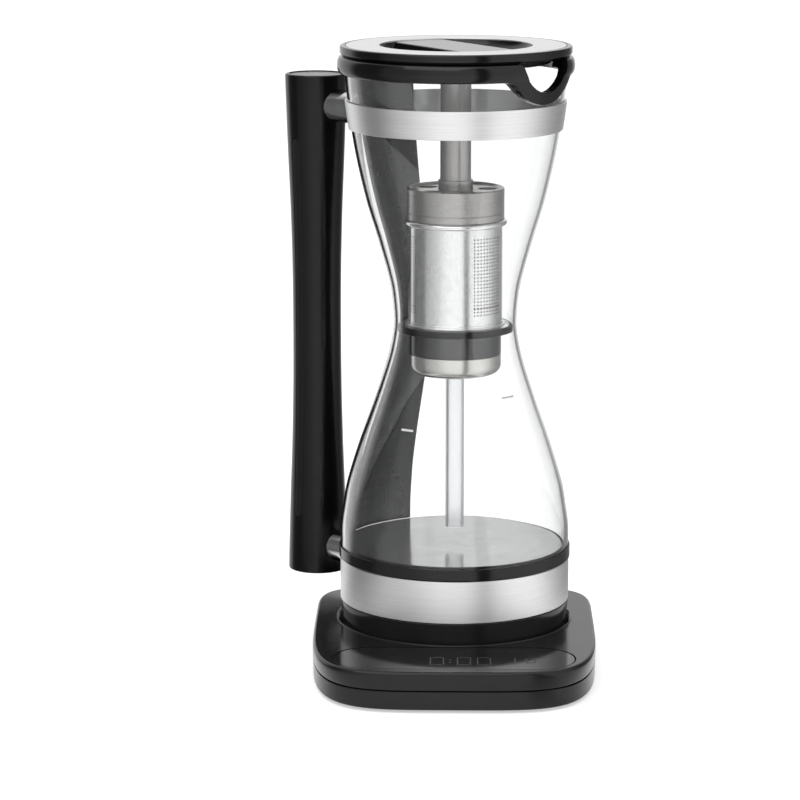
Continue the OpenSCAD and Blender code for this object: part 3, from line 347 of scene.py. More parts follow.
def between_ends(name, verts, levels=2):
    """Closed form through outlines of the same length, one after the other, with flat ends."""
    n = len(verts) // levels
    faces = []
    for k in range(0, n * (levels - 1), n):
        faces += [(k + i, k + (i + 1) % n, k + n + (i + 1) % n, k + n + i) for i in range(n)]
    return new_object(name, verts, faces + [tuple(range(n)), tuple(range(len(verts) - n, len(verts)))])


def prism(name, outline, z0, z1):
    """Upright prism over a flat outline of (x, y), in mm."""
    return between_ends(name, [(p[0], p[1], z) for z in (z0, z1) for p in outline])


def apply_modifiers(piece):
    graph = bpy.context.evaluated_depsgraph_get()
    mesh = bpy.data.meshes.new_from_object(piece.evaluated_get(graph))
    piece.modifiers.clear()
    piece.data = mesh


def combine(piece, other, operation):
    """Cuts another object from a piece or joins it to the piece, and removes the other."""
    step = piece.modifiers.new("combine", "BOOLEAN")
    step.object = other
    step.operation = operation
    step.solver = "EXACT"
    apply_modifiers(piece)
    bpy.data.objects.remove(other)
    return piece


def cut(piece, *others):
    for other in others:
        combine(piece, other, "DIFFERENCE")
    return piece


def rod(name, start, end, size, segments=64):
    """Straight cylinder from start to end, in mm."""
    line = Vector(end) - Vector(start)
    turn = line.to_track_quat("Z", "Y").to_matrix()
    verts = []
    for z in (0, line.length):
        for i in range(segments):
            a = math.tau * i / segments
            verts.append(Vector(start) + turn @ Vector((size * math.cos(a), size * math.sin(a), z)))
    return between_ends(name, verts)


def punch(name, outline, azimuth, r0, r1, centre=AXIS):
    """Prism that points out along an azimuth, over an outline of (sideways, z)."""
    a = math.radians(azimuth)
    side = Vector((math.cos(a), math.sin(a), 0))
    return between_ends(name, [toward(azimuth, reach, z, centre) + side * across
                               for reach in (r0, r1) for across, z in outline])


def remesh(piece, voxel, rounds=6, factor=0.5):
    """Even mesh over a piece, smoothed, so that its inner corners turn into soft fillets."""
    step = piece.modifiers.new("remesh", "REMESH")
    step.mode = "VOXEL"
    step.voxel_size = voxel * MM
    smooth = piece.modifiers.new("smooth", "SMOOTH")
    smooth.factor = factor
    smooth.iterations = rounds
    apply_modifiers(piece)
    return piece


def bevel(piece, width, steps=3, angle=35.0):
    step = piece.modifiers.new("bevel", "BEVEL")
    step.width = width * MM
    step.segments = steps
    step.limit_method = "ANGLE"
    step.angle_limit = math.radians(angle)
    step.harden_normals = False
    apply_modifiers(piece)
    return piece


def shade(piece, angle=32.0, weighted=True):
    piece.data.shade_smooth()
    piece.data.set_sharp_from_angle(angle=math.radians(angle))
    if weighted:
        step = piece.modifiers.new("normals", "WEIGHTED_NORMAL")
        step.keep_sharp = True
        step.weight = 80


def dress(piece, mat, body, slot, *replaced, angle=32.0, weighted=True):
    """Shades a finished piece, gives it its material and puts it on its body."""
    piece.data.materials.clear()
    piece.data.materials.append(mat)
    shade(piece, angle, weighted)
    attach(piece, body)
    if replaced:
        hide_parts(*replaced)
    return piece


def join(name, pieces):
    """Joins finished meshes into the first of them."""
    bm = bmesh.new()
    for piece in pieces:
        bm.from_mesh(piece.data)
    first = pieces[0]
    mesh = bpy.data.meshes.new(name)
    bm.to_mesh(mesh)
    bm.free()
    for piece in pieces[1:]:
        bpy.data.objects.remove(piece)
    first.data = mesh
    first.name = name
    return first


def rim_arc(centre_r, centre_z, size, start, end, steps=6):
    points = []
    for k in range(steps + 1):
        a = math.radians(start + (end - start) * k / steps)
        points.append(Vector((centre_r + size * math.cos(a), centre_z + size * math.sin(a))))
    return points


# Base: two casing shells over one squarish oval outline
BASE_LOW, BASE_HIGH = corner("base_lower_shell", 0), corner("base_lower_shell", 1)
BASE_TOP = high("control_window") + 0.15
SEAM_LOW, SEAM_HIGH = high("base_lower_shell"), low("base_upper_shell")
BASE_MIDDLE = AXIS.y + 10
FRONT_SQUARENESS, FOOT_SQUARENESS, BACK_SQUARENESS = 4.8, 4.3, 4.3
BASE_POINTS = 288
RIM_LOW = BASE_TOP - 2.4
DOCK_FLOOR = low("jug_cup")
DOCK_RADIUS = 48.4


def base_outline(inset, front_square):
    half = (BASE_HIGH.x - BASE_LOW.x) / 2 - inset
    centre = (BASE_HIGH.x + BASE_LOW.x) / 2
    points = []
    for i in range(BASE_POINTS):
        t = math.tau * i / BASE_POINTS
        c, s = math.cos(t), math.sin(t)
        square = front_square if s < 0 else BACK_SQUARENESS
        reach = (BASE_MIDDLE - BASE_LOW.y if s < 0 else BASE_HIGH.y - BASE_MIDDLE) - inset
        points.append((centre + half * math.copysign(abs(c) ** (2 / square), c),
                       BASE_MIDDLE + reach * math.copysign(abs(s) ** (2 / square), s)))
    return points


def base_shell(name, levels):
    """Closed form through levels of (height, inset), with the front rounder below the rim."""
    verts = []
    for z, inset in levels:
        share = min(1.0, max(0.0, (z - SEAM_HIGH) / (RIM_LOW - SEAM_HIGH)))
        square = FOOT_SQUARENESS + (FRONT_SQUARENESS - FOOT_SQUARENESS) * share
        verts += [(x, y, z) for x, y in base_outline(inset, square)]
    return between_ends(name, verts, len(levels))


def edge_levels(z0, inset0, z1, inset1, steps=7, outwards=True):
    """Quarter round between two levels."""
    levels = []
    for k in range(steps + 1):
        a = math.pi / 2 * k / steps
        up, across = (math.sin(a), 1 - math.cos(a)) if outwards else (1 - math.cos(a), math.sin(a))
        levels.append((z0 + (z1 - z0) * up, inset0 + (inset1 - inset0) * across))
    return levels


def stadium(width, depth, end, centre, grow=0.0, steps=24):
    """Outline of the control window: a rectangle with round corners."""
    points = []
    for quarter, (sx, sy) in enumerate(((1, 1), (-1, 1), (-1, -1), (1, -1))):
        cx = centre.x + sx * (width / 2 - end)
        cy = centre.y + sy * (depth / 2 - end)
        for k in range(steps + 1):
            a = math.pi / 2 * (quarter + k / steps)
            points.append((cx + (end + grow) * math.cos(a), cy + (end + grow) * math.sin(a)))
    return points


WINDOW = middle("control_window")
WINDOW_SIZE = corner("control_window", 1) - corner("control_window", 0)
WINDOW_END = WINDOW_SIZE.y / 2 - 0.5
PANEL_FLOOR = low("control_window")

upper = base_shell("base_upper_casing", [(SEAM_HIGH, 0.5), (SEAM_HIGH + 0.15, 0.12), (SEAM_HIGH + 0.5, 0.0),
                                         (SEAM_HIGH + 2, 0.02), (SEAM_HIGH + 3.6, 0.05), (RIM_LOW, 0.1)]
                   + edge_levels(BASE_TOP - 1.6, 0.15, BASE_TOP, 1.5))
dock = lathe("dock_cut", [
    (0, DOCK_FLOOR), (DOCK_RADIUS, DOCK_FLOOR, 0.3), (DOCK_RADIUS, BASE_TOP - 0.35, 0.3),
    (DOCK_RADIUS + 0.5, BASE_TOP + 0.05, 0.2), (DOCK_RADIUS + 0.5, BASE_TOP + 4), (0, BASE_TOP + 4)])
plug_hole = lathe("plug_cut", [(0, 9), (16.15, 9), (16.15, BASE_TOP), (0, BASE_TOP)])
window_cut = prism("window_cut", stadium(WINDOW_SIZE.x, WINDOW_SIZE.y, WINDOW_END, WINDOW, 0.3),
                   PANEL_FLOOR, BASE_TOP + 3)
cut(upper, window_cut, dock, plug_hole)
dock_bead = lathe("dock_bead", [(DOCK_RADIUS + 0.7, BASE_TOP - 0.6),
                                *rim_arc(DOCK_RADIUS + 1.05, BASE_TOP, 0.42, 180, 0, 8),
                                (DOCK_RADIUS + 1.4, BASE_TOP - 0.6)])
combine(upper, dock_bead, "UNION")
EAR_SIDES, EAR_REACH, EAR_RADIUS, EAR_EDGE = (85, -85), 45.2, 3.5, 49.25
for side in EAR_SIDES:
    start, end = [toward(side, EAR_REACH, DOCK_FLOOR + rise) for rise in (-0.5, 5.0)]
    ear = rod("ear", start, end, EAR_RADIUS, 48)
    outer = rod("ear_outer", toward(side, 0, DOCK_FLOOR - 1), toward(side, 0, DOCK_FLOOR + 6), EAR_EDGE, 256)
    combine(ear, outer, "INTERSECT")
    combine(upper, bevel(ear, 0.8, 4), "UNION")
dress(upper, CASING_BLACK, "base", "gloss_black", "base_upper_shell")

lower = base_shell("base_lower_casing", edge_levels(BASE_LOW.z, 1.1, BASE_LOW.z + 1.1, 0.1, outwards=False)
                   + [(SEAM_LOW - 0.4, 0.0), (SEAM_LOW - 0.12, 0.1), (SEAM_LOW, 0.4), (SEAM_LOW, 1.6),
                      (SEAM_HIGH + 0.1, 1.6)])
SCREWS, SCREW_CUT, SCREW_SINK = ((50.5, -40), (-50.5, -40), (46, 27), (-46, 27)), 2.95, 1.95
for x, y in SCREWS:
    place = (AXIS.x + x, AXIS.y + y)
    cut(lower, rod("screw_cut", (*place, 0), (*place, BASE_LOW.z + SCREW_SINK), SCREW_CUT))
dress(lower, CASING_BLACK, "base", "gloss_black", "base_lower_shell")

window = prism("control_panel", stadium(WINDOW_SIZE.x, WINDOW_SIZE.y, WINDOW_END, WINDOW, -0.3),
               PANEL_FLOOR, BASE_TOP - 0.1)
bevel(window, 0.15, 2)
dress(window, WINDOW_BLACK, "base", "dark_window", "control_window")

SEGMENTS_OF_ZERO = ((-2.6, 0, 0.55, 5.6), (2.6, 0, 0.55, 5.6), (-2.6, -6.2, 0.55, 5.6),
                    (2.6, -6.2, 0.55, 5.6), (0, 3.1, 4.1, 0.7), (0, -9.3, 4.1, 0.7))


def panel_mark(name, x, y, width, depth, end=0.25):
    """Thin mark on the control window, at a place from the jug's axis."""
    place = Vector((AXIS.x + x, AXIS.y + y, 0))
    return prism(name, stadium(width, depth, min(end, width / 2.01, depth / 2.01), place, steps=5),
                 BASE_TOP - 0.12, BASE_TOP - 0.05)


marks = []
for digit in (-6.9, 4.0, 12.1):
    marks += [panel_mark("mark", digit + x, -68.2 + y * 0.86, w, d) for x, y, w, d in SEGMENTS_OF_ZERO]
marks += [panel_mark("mark", -1.6, y, 0.9, 1.2, 0.4) for y in (-69.2, -72.8)]
dress(join("display_digits", marks), MARK_GREY, "base", "display_grey")
KEY_LINES = ((24.6, -69.5, 0.5, 6.5), (31, -66.2, 3.6, 0.5), (31, -72.8, 3.6, 0.5), (29.2, -69.5, 0.5, 6.5),
             (32.8, -69.5, 0.5, 6.5))
dress(join("key_icon", [panel_mark("mark", *line) for line in KEY_LINES]), MARK_GREY, "base", "display_grey")

# Jug foot
SEAL_TOP = high("seal_ring")
CUP_TOP = high("jug_cup")
BAND_LOW = low("lower_band") - 0.15
CUP_RADIUS = radius("lower_band")
FOOT_RADIUS = 47.5
CUP_INSIDE, BAND_STEP = 44.2, 1.0
cup = lathe("jug_foot_cup", [
    (CUP_INSIDE, DOCK_FLOOR), (FOOT_RADIUS, DOCK_FLOOR, 0.5), (CUP_RADIUS, BAND_LOW, 0.3),
    (CUP_RADIUS - BAND_STEP, BAND_LOW), (CUP_RADIUS - BAND_STEP, CUP_TOP), (CUP_INSIDE, CUP_TOP)])
for side in EAR_SIDES:
    start, end = [toward(side, EAR_REACH, DOCK_FLOOR + rise) for rise in (-1, 5.35)]
    cut(cup, rod("notch", start, end, EAR_RADIUS + 0.4, 48))
dress(cup, CUP_BLACK, "jug", "gloss_black", "jug_cup")

band = lathe("lower_steel_band", [(CUP_RADIUS - 0.9, BAND_LOW + 0.15), (CUP_RADIUS, BAND_LOW + 0.15, 0.25),
                                  (CUP_RADIUS, CUP_TOP - 0.15, 0.25), (CUP_RADIUS - 0.9, CUP_TOP - 0.15)])
dress(band, BAND_STEEL, "jug", "brushed_band", "lower_band")

SEAL_RADIUS = radius("seal_ring")
GROOVE_INNER, GROOVE_OUTER, SEAL_INNER = 45.95, 48.25, 45.5
seal = lathe("glass_seal_ring", [
    (SEAL_INNER, CUP_TOP), (SEAL_RADIUS, CUP_TOP, 0.5), (SEAL_RADIUS, SEAL_TOP, 0.7),
    (GROOVE_OUTER, SEAL_TOP, 0.2), (GROOVE_OUTER, CUP_TOP + 2), (GROOVE_INNER, CUP_TOP + 2),
    (GROOVE_INNER, SEAL_TOP - 0.4, 0.2), (SEAL_INNER, SEAL_TOP - 0.4)])
dress(seal, GLOSS_BLACK, "jug", "black_rubber", "seal_ring")

# Glass: the CAD's smooth line through the foot, waist and rim
GLASS_FOOT, GLASS_RIM = low("glass_body"), high("glass_body")
LOWER_SWELL = [(0, 0), (0.09, 0.044), (0.18, 0.133), (0.36, 0.378), (0.54, 0.644), (0.72, 0.871),
               (0.82, 0.945), (0.91, 0.995), (1, 1)]
UPPER_SWELL = [(0, 0), (0.08, 0.027), (0.16, 0.092), (0.32, 0.32), (0.475, 0.563), (0.67, 0.793),
               (0.86, 0.945), (1, 1)]
WAIST_Z, WAIST_RADIUS = high("waist_hoop") + 0.8, 25.7
FOOT_GLASS_RADIUS, RIM_RADIUS = 48.1, 45.8
GLASS_WALL = 1.6


def smooth_curve(stations, t):
    """Smooth curve through stations of (t, value), level at both ends."""
    last = len(stations) - 1
    i = next((k for k in range(last) if t <= stations[k + 1][0]), last - 1)

    def slope(k):
        if k in (0, last):
            return 0.0
        (t0, v0), (t1, v1) = stations[k - 1], stations[k + 1]
        return (v1 - v0) / (t1 - t0)

    (ta, a), (tb, b) = stations[i], stations[i + 1]
    h = tb - ta
    u = (t - ta) / h
    m, n = slope(i) * h, slope(i + 1) * h
    return a + u * (m + u * (3 * (b - a) - 2 * m - n + u * (m + n - 2 * (b - a))))


def glass_radius(z):
    if z < WAIST_Z:
        return WAIST_RADIUS + (FOOT_GLASS_RADIUS - WAIST_RADIUS) * smooth_curve(
            LOWER_SWELL, min(1.0, (WAIST_Z - z) / (WAIST_Z - SEAL_TOP)))
    return WAIST_RADIUS + (RIM_RADIUS - WAIST_RADIUS) * smooth_curve(
        UPPER_SWELL, min(1.0, (z - WAIST_Z) / (GLASS_RIM - WAIST_Z)))


def line_along(radius_at, z0, z1, grow, step):
    """Points at a distance from a curved surface of revolution, from one height to another."""
    n = max(2, round(abs(z1 - z0) / step))
    heights = [z0 + (z1 - z0) * i / n for i in range(n + 1)]
    return [Vector((radius_at(z) + grow, z)) for z in heights]


def glass_line(z0, z1, grow, step=1.5):
    return line_along(glass_radius, z0, z1, grow, step)


wall = GLASS_WALL / 2
glass = lathe("jug_glass", segments=256, profile=(
    glass_line(GLASS_FOOT + wall, GLASS_RIM - wall, 0.0)
    + rim_arc(glass_radius(GLASS_RIM) - wall, GLASS_RIM - wall, wall, 0, 180)
    + glass_line(GLASS_RIM - wall, GLASS_FOOT + wall, -GLASS_WALL)
    + rim_arc(FOOT_GLASS_RADIUS - wall, GLASS_FOOT + wall, wall, 180, 360)))
SPOUT_AZIMUTH = 52.0
SPOUT_SEAT = low("lid_plate") - 3.6
SPOUT_WINDOW_Z, SPOUT_WINDOW = SPOUT_SEAT + 2.6, 15.1
SPOUT_OUTER_Z, SPOUT_OUTER = SPOUT_SEAT + 4.8, 22.4
SPOUT_NOTCH_Z, SPOUT_NOTCH = SPOUT_SEAT + 3.7, 18.75
SPOUT_RELIEF_Z, SPOUT_RELIEF, RELIEF_REACH = SPOUT_SEAT + 3.28, 17.29, 42.4
PUNCH_FROM, PUNCH_TO = 25, 60
cut(glass, rod("glass_notch", toward(SPOUT_AZIMUTH, PUNCH_FROM, SPOUT_NOTCH_Z),
               toward(SPOUT_AZIMUTH, PUNCH_TO, SPOUT_NOTCH_Z), SPOUT_NOTCH, 96))
dress(glass, CLEAR_GLASS, "jug", "clear_glass", "glass_body", angle=50, weighted=False)
glass.visible_shadow = False

# Heat shield and upper band
SHIELD_ANGLE, SHIELD_THICKNESS = 46.0, 1.6
SHIELD_AZIMUTH = HANDLE_AZIMUTH - 3
COLLAR_LOW = SPOUT_SEAT - 7.6
shield_low, shield_high = SEAL_TOP + 0.15, COLLAR_LOW - 0.15
shield = lathe("handle_side_shield", segments=384, span=(SHIELD_AZIMUTH, SHIELD_ANGLE), profile=(
    glass_line(shield_low, shield_high, 0.15) + glass_line(shield_high, shield_low, 0.15 + SHIELD_THICKNESS)))
bevel(shield, 0.5, 3, 60)
dress(shield, SHIELD_BLACK, "jug", "gloss_black", "heat_shield", angle=40)

UPPER_BAND_LOW, UPPER_BAND_HIGH = low("upper_band"), high("upper_band")
BAND_SPAN = (SHIELD_AZIMUTH + 180, 360 - SHIELD_ANGLE - 0.4)
BAND_GAP, BAND_WALL = 0.15, 0.9
top_band = lathe("upper_steel_band", segments=288, span=BAND_SPAN, profile=(
    glass_line(UPPER_BAND_LOW, UPPER_BAND_HIGH, BAND_GAP + BAND_WALL)
    + glass_line(UPPER_BAND_HIGH, UPPER_BAND_LOW, BAND_GAP)))
bevel(top_band, 0.2, 2, 60)
dress(top_band, BAND_STEEL, "jug", "brushed_band", "upper_band", angle=40)

# Collar with the spout loop
COLLAR_RADIUS, COLLAR_BULGE = 49.0, 1.6
COLLAR_HALF = (SPOUT_SEAT - COLLAR_LOW) / 2
COLLAR_MOUTH, COLLAR_GAP = 40.4, 0.15
bulge = []
for k in range(25):
    a = math.radians(75 - 6.25 * k)
    bulge.append((COLLAR_RADIUS + COLLAR_BULGE * (math.cos(a) - 1),
                  COLLAR_LOW + COLLAR_HALF * (1 + 0.96 * math.sin(a))))
collar = lathe("spout_collar", segments=288, profile=[
    (COLLAR_MOUTH, GLASS_RIM + COLLAR_GAP), (COLLAR_MOUTH, SPOUT_SEAT, 0.4),
    (COLLAR_RADIUS - 2.2, SPOUT_SEAT, 0.3), *bulge, (glass_radius(COLLAR_LOW) + COLLAR_GAP, COLLAR_LOW),
    (glass_radius(GLASS_RIM) + COLLAR_GAP, GLASS_RIM + COLLAR_GAP)])
SPOUT_FILLET, LOOP_DROP = 4.0, 0.4


def spout_outline():
    """Outline of the spout loop, blended into the collar's lower edge, as (sideways, z)."""
    drop = SPOUT_OUTER_Z - COLLAR_LOW + SPOUT_FILLET
    reach = math.sqrt((SPOUT_OUTER + SPOUT_FILLET) ** 2 - drop ** 2)
    lean = math.atan2(drop, reach)
    half = [Vector((reach, SPOUT_SEAT - LOOP_DROP))]
    half += rim_arc(reach, COLLAR_LOW - SPOUT_FILLET, SPOUT_FILLET, 90, 180 - math.degrees(lean), 8)
    half += rim_arc(0, SPOUT_OUTER_Z, SPOUT_OUTER, -math.degrees(lean), -90, 24)
    return half + [Vector((-p.x, p.y)) for p in reversed(half[:-1])]


LOOP_LOW, LOOP_HIGH = SPOUT_SEAT - 40, SPOUT_SEAT - LOOP_DROP
LOOP_SKIN, LOOP_INSIDE, LOOP_SWELL, LOOP_RUN = 1.4, -GLASS_WALL - 0.9, 1.0, 9.0
skin = []
for p in glass_line(LOOP_LOW, LOOP_HIGH, LOOP_SKIN):
    share = min(max((p.y - COLLAR_LOW) / LOOP_RUN + 1, 0), 1)
    skin.append(Vector((min(p.x + LOOP_SWELL * share * share * (3 - 2 * share), COLLAR_RADIUS - 0.3), p.y)))
loop = lathe("spout_loop", skin + glass_line(LOOP_HIGH, LOOP_LOW, LOOP_INSIDE), segments=288)
combine(loop, punch("loop_form", spout_outline(), SPOUT_AZIMUTH, PUNCH_FROM, PUNCH_TO), "INTERSECT")
WINDOW_ROUND = rim_arc(0, SPOUT_WINDOW_Z, SPOUT_WINDOW, 0, 357, 119)
RELIEF_ROUND = rim_arc(0, SPOUT_RELIEF_Z, SPOUT_RELIEF, 0, 357, 119)
for ring in (collar, loop):
    cut(ring, punch("spout_window", WINDOW_ROUND, SPOUT_AZIMUTH, PUNCH_FROM, PUNCH_TO),
        punch("spout_relief", RELIEF_ROUND, SPOUT_AZIMUTH, PUNCH_FROM, RELIEF_REACH))
combine(collar, loop, "UNION")
remesh(collar, 0.32, 8)
dress(collar, GLOSS_BLACK, "jug", "gloss_black", "collar", angle=60, weighted=False)

# Handle
HANDLE_LOW, HANDLE_HIGH = low("handle_shell"), high("handle_shell")
HANDLE_MIDDLE = (HANDLE_LOW + HANDLE_HIGH) / 2
HANDLE_SWELL = [(0, 0), (0.23, 0.055), (0.46, 0.27), (0.7, 0.64), (0.85, 0.84), (1, 1)]
HANDLE_TOP, HANDLE_WAIST, HANDLE_BOTTOM = 13.2, 10.4, 12.9


def handle_radius(z):
    half = HANDLE_HIGH - HANDLE_MIDDLE
    end = HANDLE_TOP if z > HANDLE_MIDDLE else HANDLE_BOTTOM
    share = min(1.0, abs(z - HANDLE_MIDDLE) / half)
    return HANDLE_WAIST + (end - HANDLE_WAIST) * smooth_curve(HANDLE_SWELL, share)


def handle_line(z0, z1, grow):
    return line_along(handle_radius, z0, z1, grow, 3.0)


HANDLE_EDGE, CAP_RADIUS, CAP_SINK = 0.8, 11.45, 0.45
LOW_CAP_RADIUS = radius("handle_bottom_cap")
handle = lathe("handle_grip", centre=HANDLE, segments=128, profile=[
    (0, HANDLE_LOW + 1.5), (LOW_CAP_RADIUS + 0.15, HANDLE_LOW + 1.5),
    (LOW_CAP_RADIUS + 0.15, HANDLE_LOW + 0.2), (LOW_CAP_RADIUS + 0.35, HANDLE_LOW),
    *rim_arc(HANDLE_BOTTOM - HANDLE_EDGE, HANDLE_LOW + HANDLE_EDGE, HANDLE_EDGE, -90, 0),
    *handle_line(HANDLE_LOW + 2, HANDLE_HIGH - 2, 0.0),
    *rim_arc(HANDLE_TOP - HANDLE_EDGE, HANDLE_HIGH - HANDLE_EDGE, HANDLE_EDGE, 0, 90),
    (CAP_RADIUS + 0.3, HANDLE_HIGH), (CAP_RADIUS, HANDLE_HIGH - 0.3), (CAP_RADIUS, HANDLE_HIGH - 1.6),
    (0, HANDLE_HIGH - 1.6)])
INLAY_Z = middle("handle_inlays").z
INLAY_LENGTH = high("handle_inlays") - low("handle_inlays")
INLAY_WIDTH, INLAY_DEPTH, INLAY_SWING = 4.4, 0.7, 85


def upright_stadium(width, long):
    """Outline with round ends, as (sideways, z), round the middle of the inlays."""
    end = width / 2
    reach = long / 2 - end
    return rim_arc(0, INLAY_Z + reach, end, 0, 180, 12) + rim_arc(0, INLAY_Z - reach, end, 180, 360, 12)


def inlay_solid(name, side, grow, inner, outer):
    """Strip along the handle's side, between two depths under its surface."""
    strip = lathe(name, centre=HANDLE, segments=256, profile=(
        handle_line(INLAY_Z - 90, INLAY_Z + 90, -outer) + handle_line(INLAY_Z + 90, INLAY_Z - 90, -inner)))
    form = punch("form", upright_stadium(INLAY_WIDTH + 2 * grow, INLAY_LENGTH + 2 * grow),
                 HANDLE_AZIMUTH + side * INLAY_SWING, 5, 16, HANDLE)
    return combine(strip, form, "INTERSECT")


inlays = []
for side in (1, -1):
    cut(handle, inlay_solid("groove", side, 0.14, INLAY_DEPTH, -1.0))
    inlays.append(bevel(inlay_solid("inlay", side, -0.02, INLAY_DEPTH - 0.05, 0.12), 0.15, 2, 50))
dress(join("handle_side_inlays", inlays), INLAY_BLACK, "jug", "inlay_grey", "handle_inlays", angle=45)
dress(handle, HANDLE_BLACK, "jug", "gloss_black", "handle_shell")
low_cap = lathe("handle_end_disc", [(0, HANDLE_LOW + 0.15), (LOW_CAP_RADIUS - 0.1, HANDLE_LOW + 0.15, 0.4),
                                    (LOW_CAP_RADIUS - 0.1, HANDLE_LOW + 1.4), (0, HANDLE_LOW + 1.4)],
                centre=HANDLE)
dress(low_cap, HANDLE_BLACK, "jug", "gloss_black", "handle_bottom_cap")
cap = lathe("handle_cap_disc", [(0, HANDLE_HIGH - 1.6), (CAP_RADIUS - 0.35, HANDLE_HIGH - 1.6),
                                (CAP_RADIUS - 0.35, HANDLE_HIGH - CAP_SINK + 0.1, 0.35),
                                (0, HANDLE_HIGH - CAP_SINK + 0.1)], centre=HANDLE)
dress(cap, HANDLE_BLACK, "jug", "gloss_black", "handle_top_cap")

# Basket: perforated wall, bead and ledge
BASKET_RADIUS, SHEET = 19.6, 0.6
BASKET_SEAT = high("waist_hoop")
BASKET_TOP = high("basket_wall") - 2.5
COLUMNS, COLUMN_SHIFT = 81, -0.94
ZONES, ZONE_HALF = (43.5, 163.5, -76.5), 22.0
HOLE, DARK_HOLE = 0.36, 0.5
HOLES_LOW, HOLES_HIGH, HOLE_ROWS, DARK_ROW = 149.2, 180.8, 23, 2


def perforated_wall():
    """Wall of the basket with true holes, in three zones."""
    verts, faces = [], []
    z0 = BASKET_SEAT + 1.2
    pitch_z = (HOLES_HIGH - HOLES_LOW) / (HOLE_ROWS - 1)
    first = round((HOLES_LOW - z0) / pitch_z - 0.5)
    z0 = HOLES_LOW - (first + 0.5) * pitch_z
    rows = math.ceil((BASKET_TOP + 0.6 - z0) / pitch_z)
    pitch = 360 / COLUMNS
    arc = math.radians(pitch) * BASKET_RADIUS
    last = first + HOLE_ROWS

    def vertex(s, z):
        verts.append(toward(s, BASKET_RADIUS, z))
        return len(verts) - 1

    grid = {}
    for c in range(COLUMNS):
        for r in range(rows + 1):
            grid[c, r] = vertex(c * pitch + COLUMN_SHIFT, min(z0 + pitch_z * r, BASKET_TOP + 0.8))
    for c in range(COLUMNS):
        centre = (c + 0.5) * pitch + COLUMN_SHIFT
        inside = any(abs((centre - zone + 180) % 360 - 180) < ZONE_HALF for zone in ZONES)
        for r in range(rows):
            a, b = grid[c, r], grid[(c + 1) % COLUMNS, r]
            d, e = grid[c, r + 1], grid[(c + 1) % COLUMNS, r + 1]
            if not inside or not first <= r < last:
                faces.append((a, b, e, d))
                continue
            size = DARK_HOLE if r == first + DARK_ROW else HOLE
            zc = z0 + pitch_z * (r + 0.5)
            ring = [vertex(centre + size / arc * pitch * math.cos(math.radians(k * 45)),
                           zc + size * math.sin(math.radians(k * 45))) for k in range(8)]
            faces += [(b, e, ring[1], ring[0], ring[7]), (e, d, ring[3], ring[2], ring[1]),
                      (d, a, ring[5], ring[4], ring[3]), (a, b, ring[7], ring[6], ring[5])]
    piece = new_object("basket_holes", verts, faces)
    step = piece.modifiers.new("sheet", "SOLIDIFY")
    step.thickness = SHEET * MM
    step.offset = -1
    apply_modifiers(piece)
    return piece


BEAD = 1.25
bead = lathe("basket_bead", rim_arc(BASKET_RADIUS + 0.7, BASKET_TOP + BEAD, BEAD, 0, 340, 17))
LEDGE_INSIDE, LEDGE_RADIUS = 16.9, 20.8
ledge = lathe("basket_ledge", [
    (LEDGE_INSIDE, BASKET_SEAT - 15.3), (17.6, BASKET_SEAT - 15.3), (17.6, BASKET_SEAT),
    (LEDGE_RADIUS, BASKET_SEAT, 0.3), (LEDGE_RADIUS, BASKET_SEAT + 0.75, 0.3),
    (19.9, BASKET_SEAT + 0.85, 0.1), (19.95, BASKET_SEAT + 1.6, 0.3), (19.5, BASKET_SEAT + 1.7),
    (19.0, BASKET_SEAT + 0.6),
    (LEDGE_INSIDE, BASKET_SEAT + 0.6)])
basket = join("basket_shell", [perforated_wall(), bead, ledge])
dress(basket, BASKET_STEEL, "basket", "polished_steel", "basket_wall", angle=40, weighted=False)


def round_wall(piece, wall_radius):
    """Makes the perforated wall's outer faces reflect as a true cylinder."""
    mesh = piece.data
    normals = [Vector((0, 0, 0))] * len(mesh.loops)
    for face in mesh.polygons:
        places = [mesh.vertices[v].co / MM - AXIS for v in face.vertices]
        if abs(face.normal.z) < 0.1 and all(abs(p.xy.length - wall_radius) < 0.02 for p in places):
            outward = [Vector((p.x, p.y, 0)).normalized() for p in places]
            if all(face.normal.dot(n) > 0.9 for n in outward):
                for loop, normal in zip(face.loop_indices, outward):
                    normals[loop] = normal
    mesh.normals_split_custom_set(normals)


round_wall(basket, BASKET_RADIUS)

# Basket cap with its ring of holes
CAP_LOW, CAP_TOP = high("basket_wall") + 0.1, high("basket_cap")
CAP_R = radius("basket_cap")
CAP_BORE, CAP_PLUG, CAP_INSIDE = 2.25, 18.7, 17.8
cap_body = lathe("basket_lid_cap", [
    (CAP_BORE, CAP_TOP - 1.8), (CAP_BORE, CAP_TOP - 0.9), (CAP_R - 1.6, CAP_TOP - 0.9, 0.4),
    (CAP_R - 1.3, CAP_TOP, 0.35), (CAP_R, CAP_TOP, 0.7), (CAP_R, CAP_LOW + 3.0, 0.12),
    (CAP_R - 0.35, CAP_LOW + 2.8, 0.1), (CAP_R, CAP_LOW + 2.6, 0.12), (CAP_R, CAP_LOW, 0.2),
    (CAP_PLUG, CAP_LOW), (CAP_PLUG, CAP_LOW - 3, 0.3), (CAP_INSIDE, CAP_LOW - 3, 0.3),
    (CAP_INSIDE, CAP_TOP - 1.8)])
CAP_HOLES, FIRST_HOLE, HOLE_REACH, CAP_HOLE = 5, 24, 13.4, 4.0
for i in range(CAP_HOLES):
    turn = FIRST_HOLE + 360 / CAP_HOLES * i
    start, end = [toward(turn, HOLE_REACH, CAP_TOP + rise) for rise in (-4, 2)]
    cut(cap_body, rod("cap_hole", start, end, CAP_HOLE))
dress(cap_body, CAP_STEEL, "cap", "grey_steel", "basket_cap")

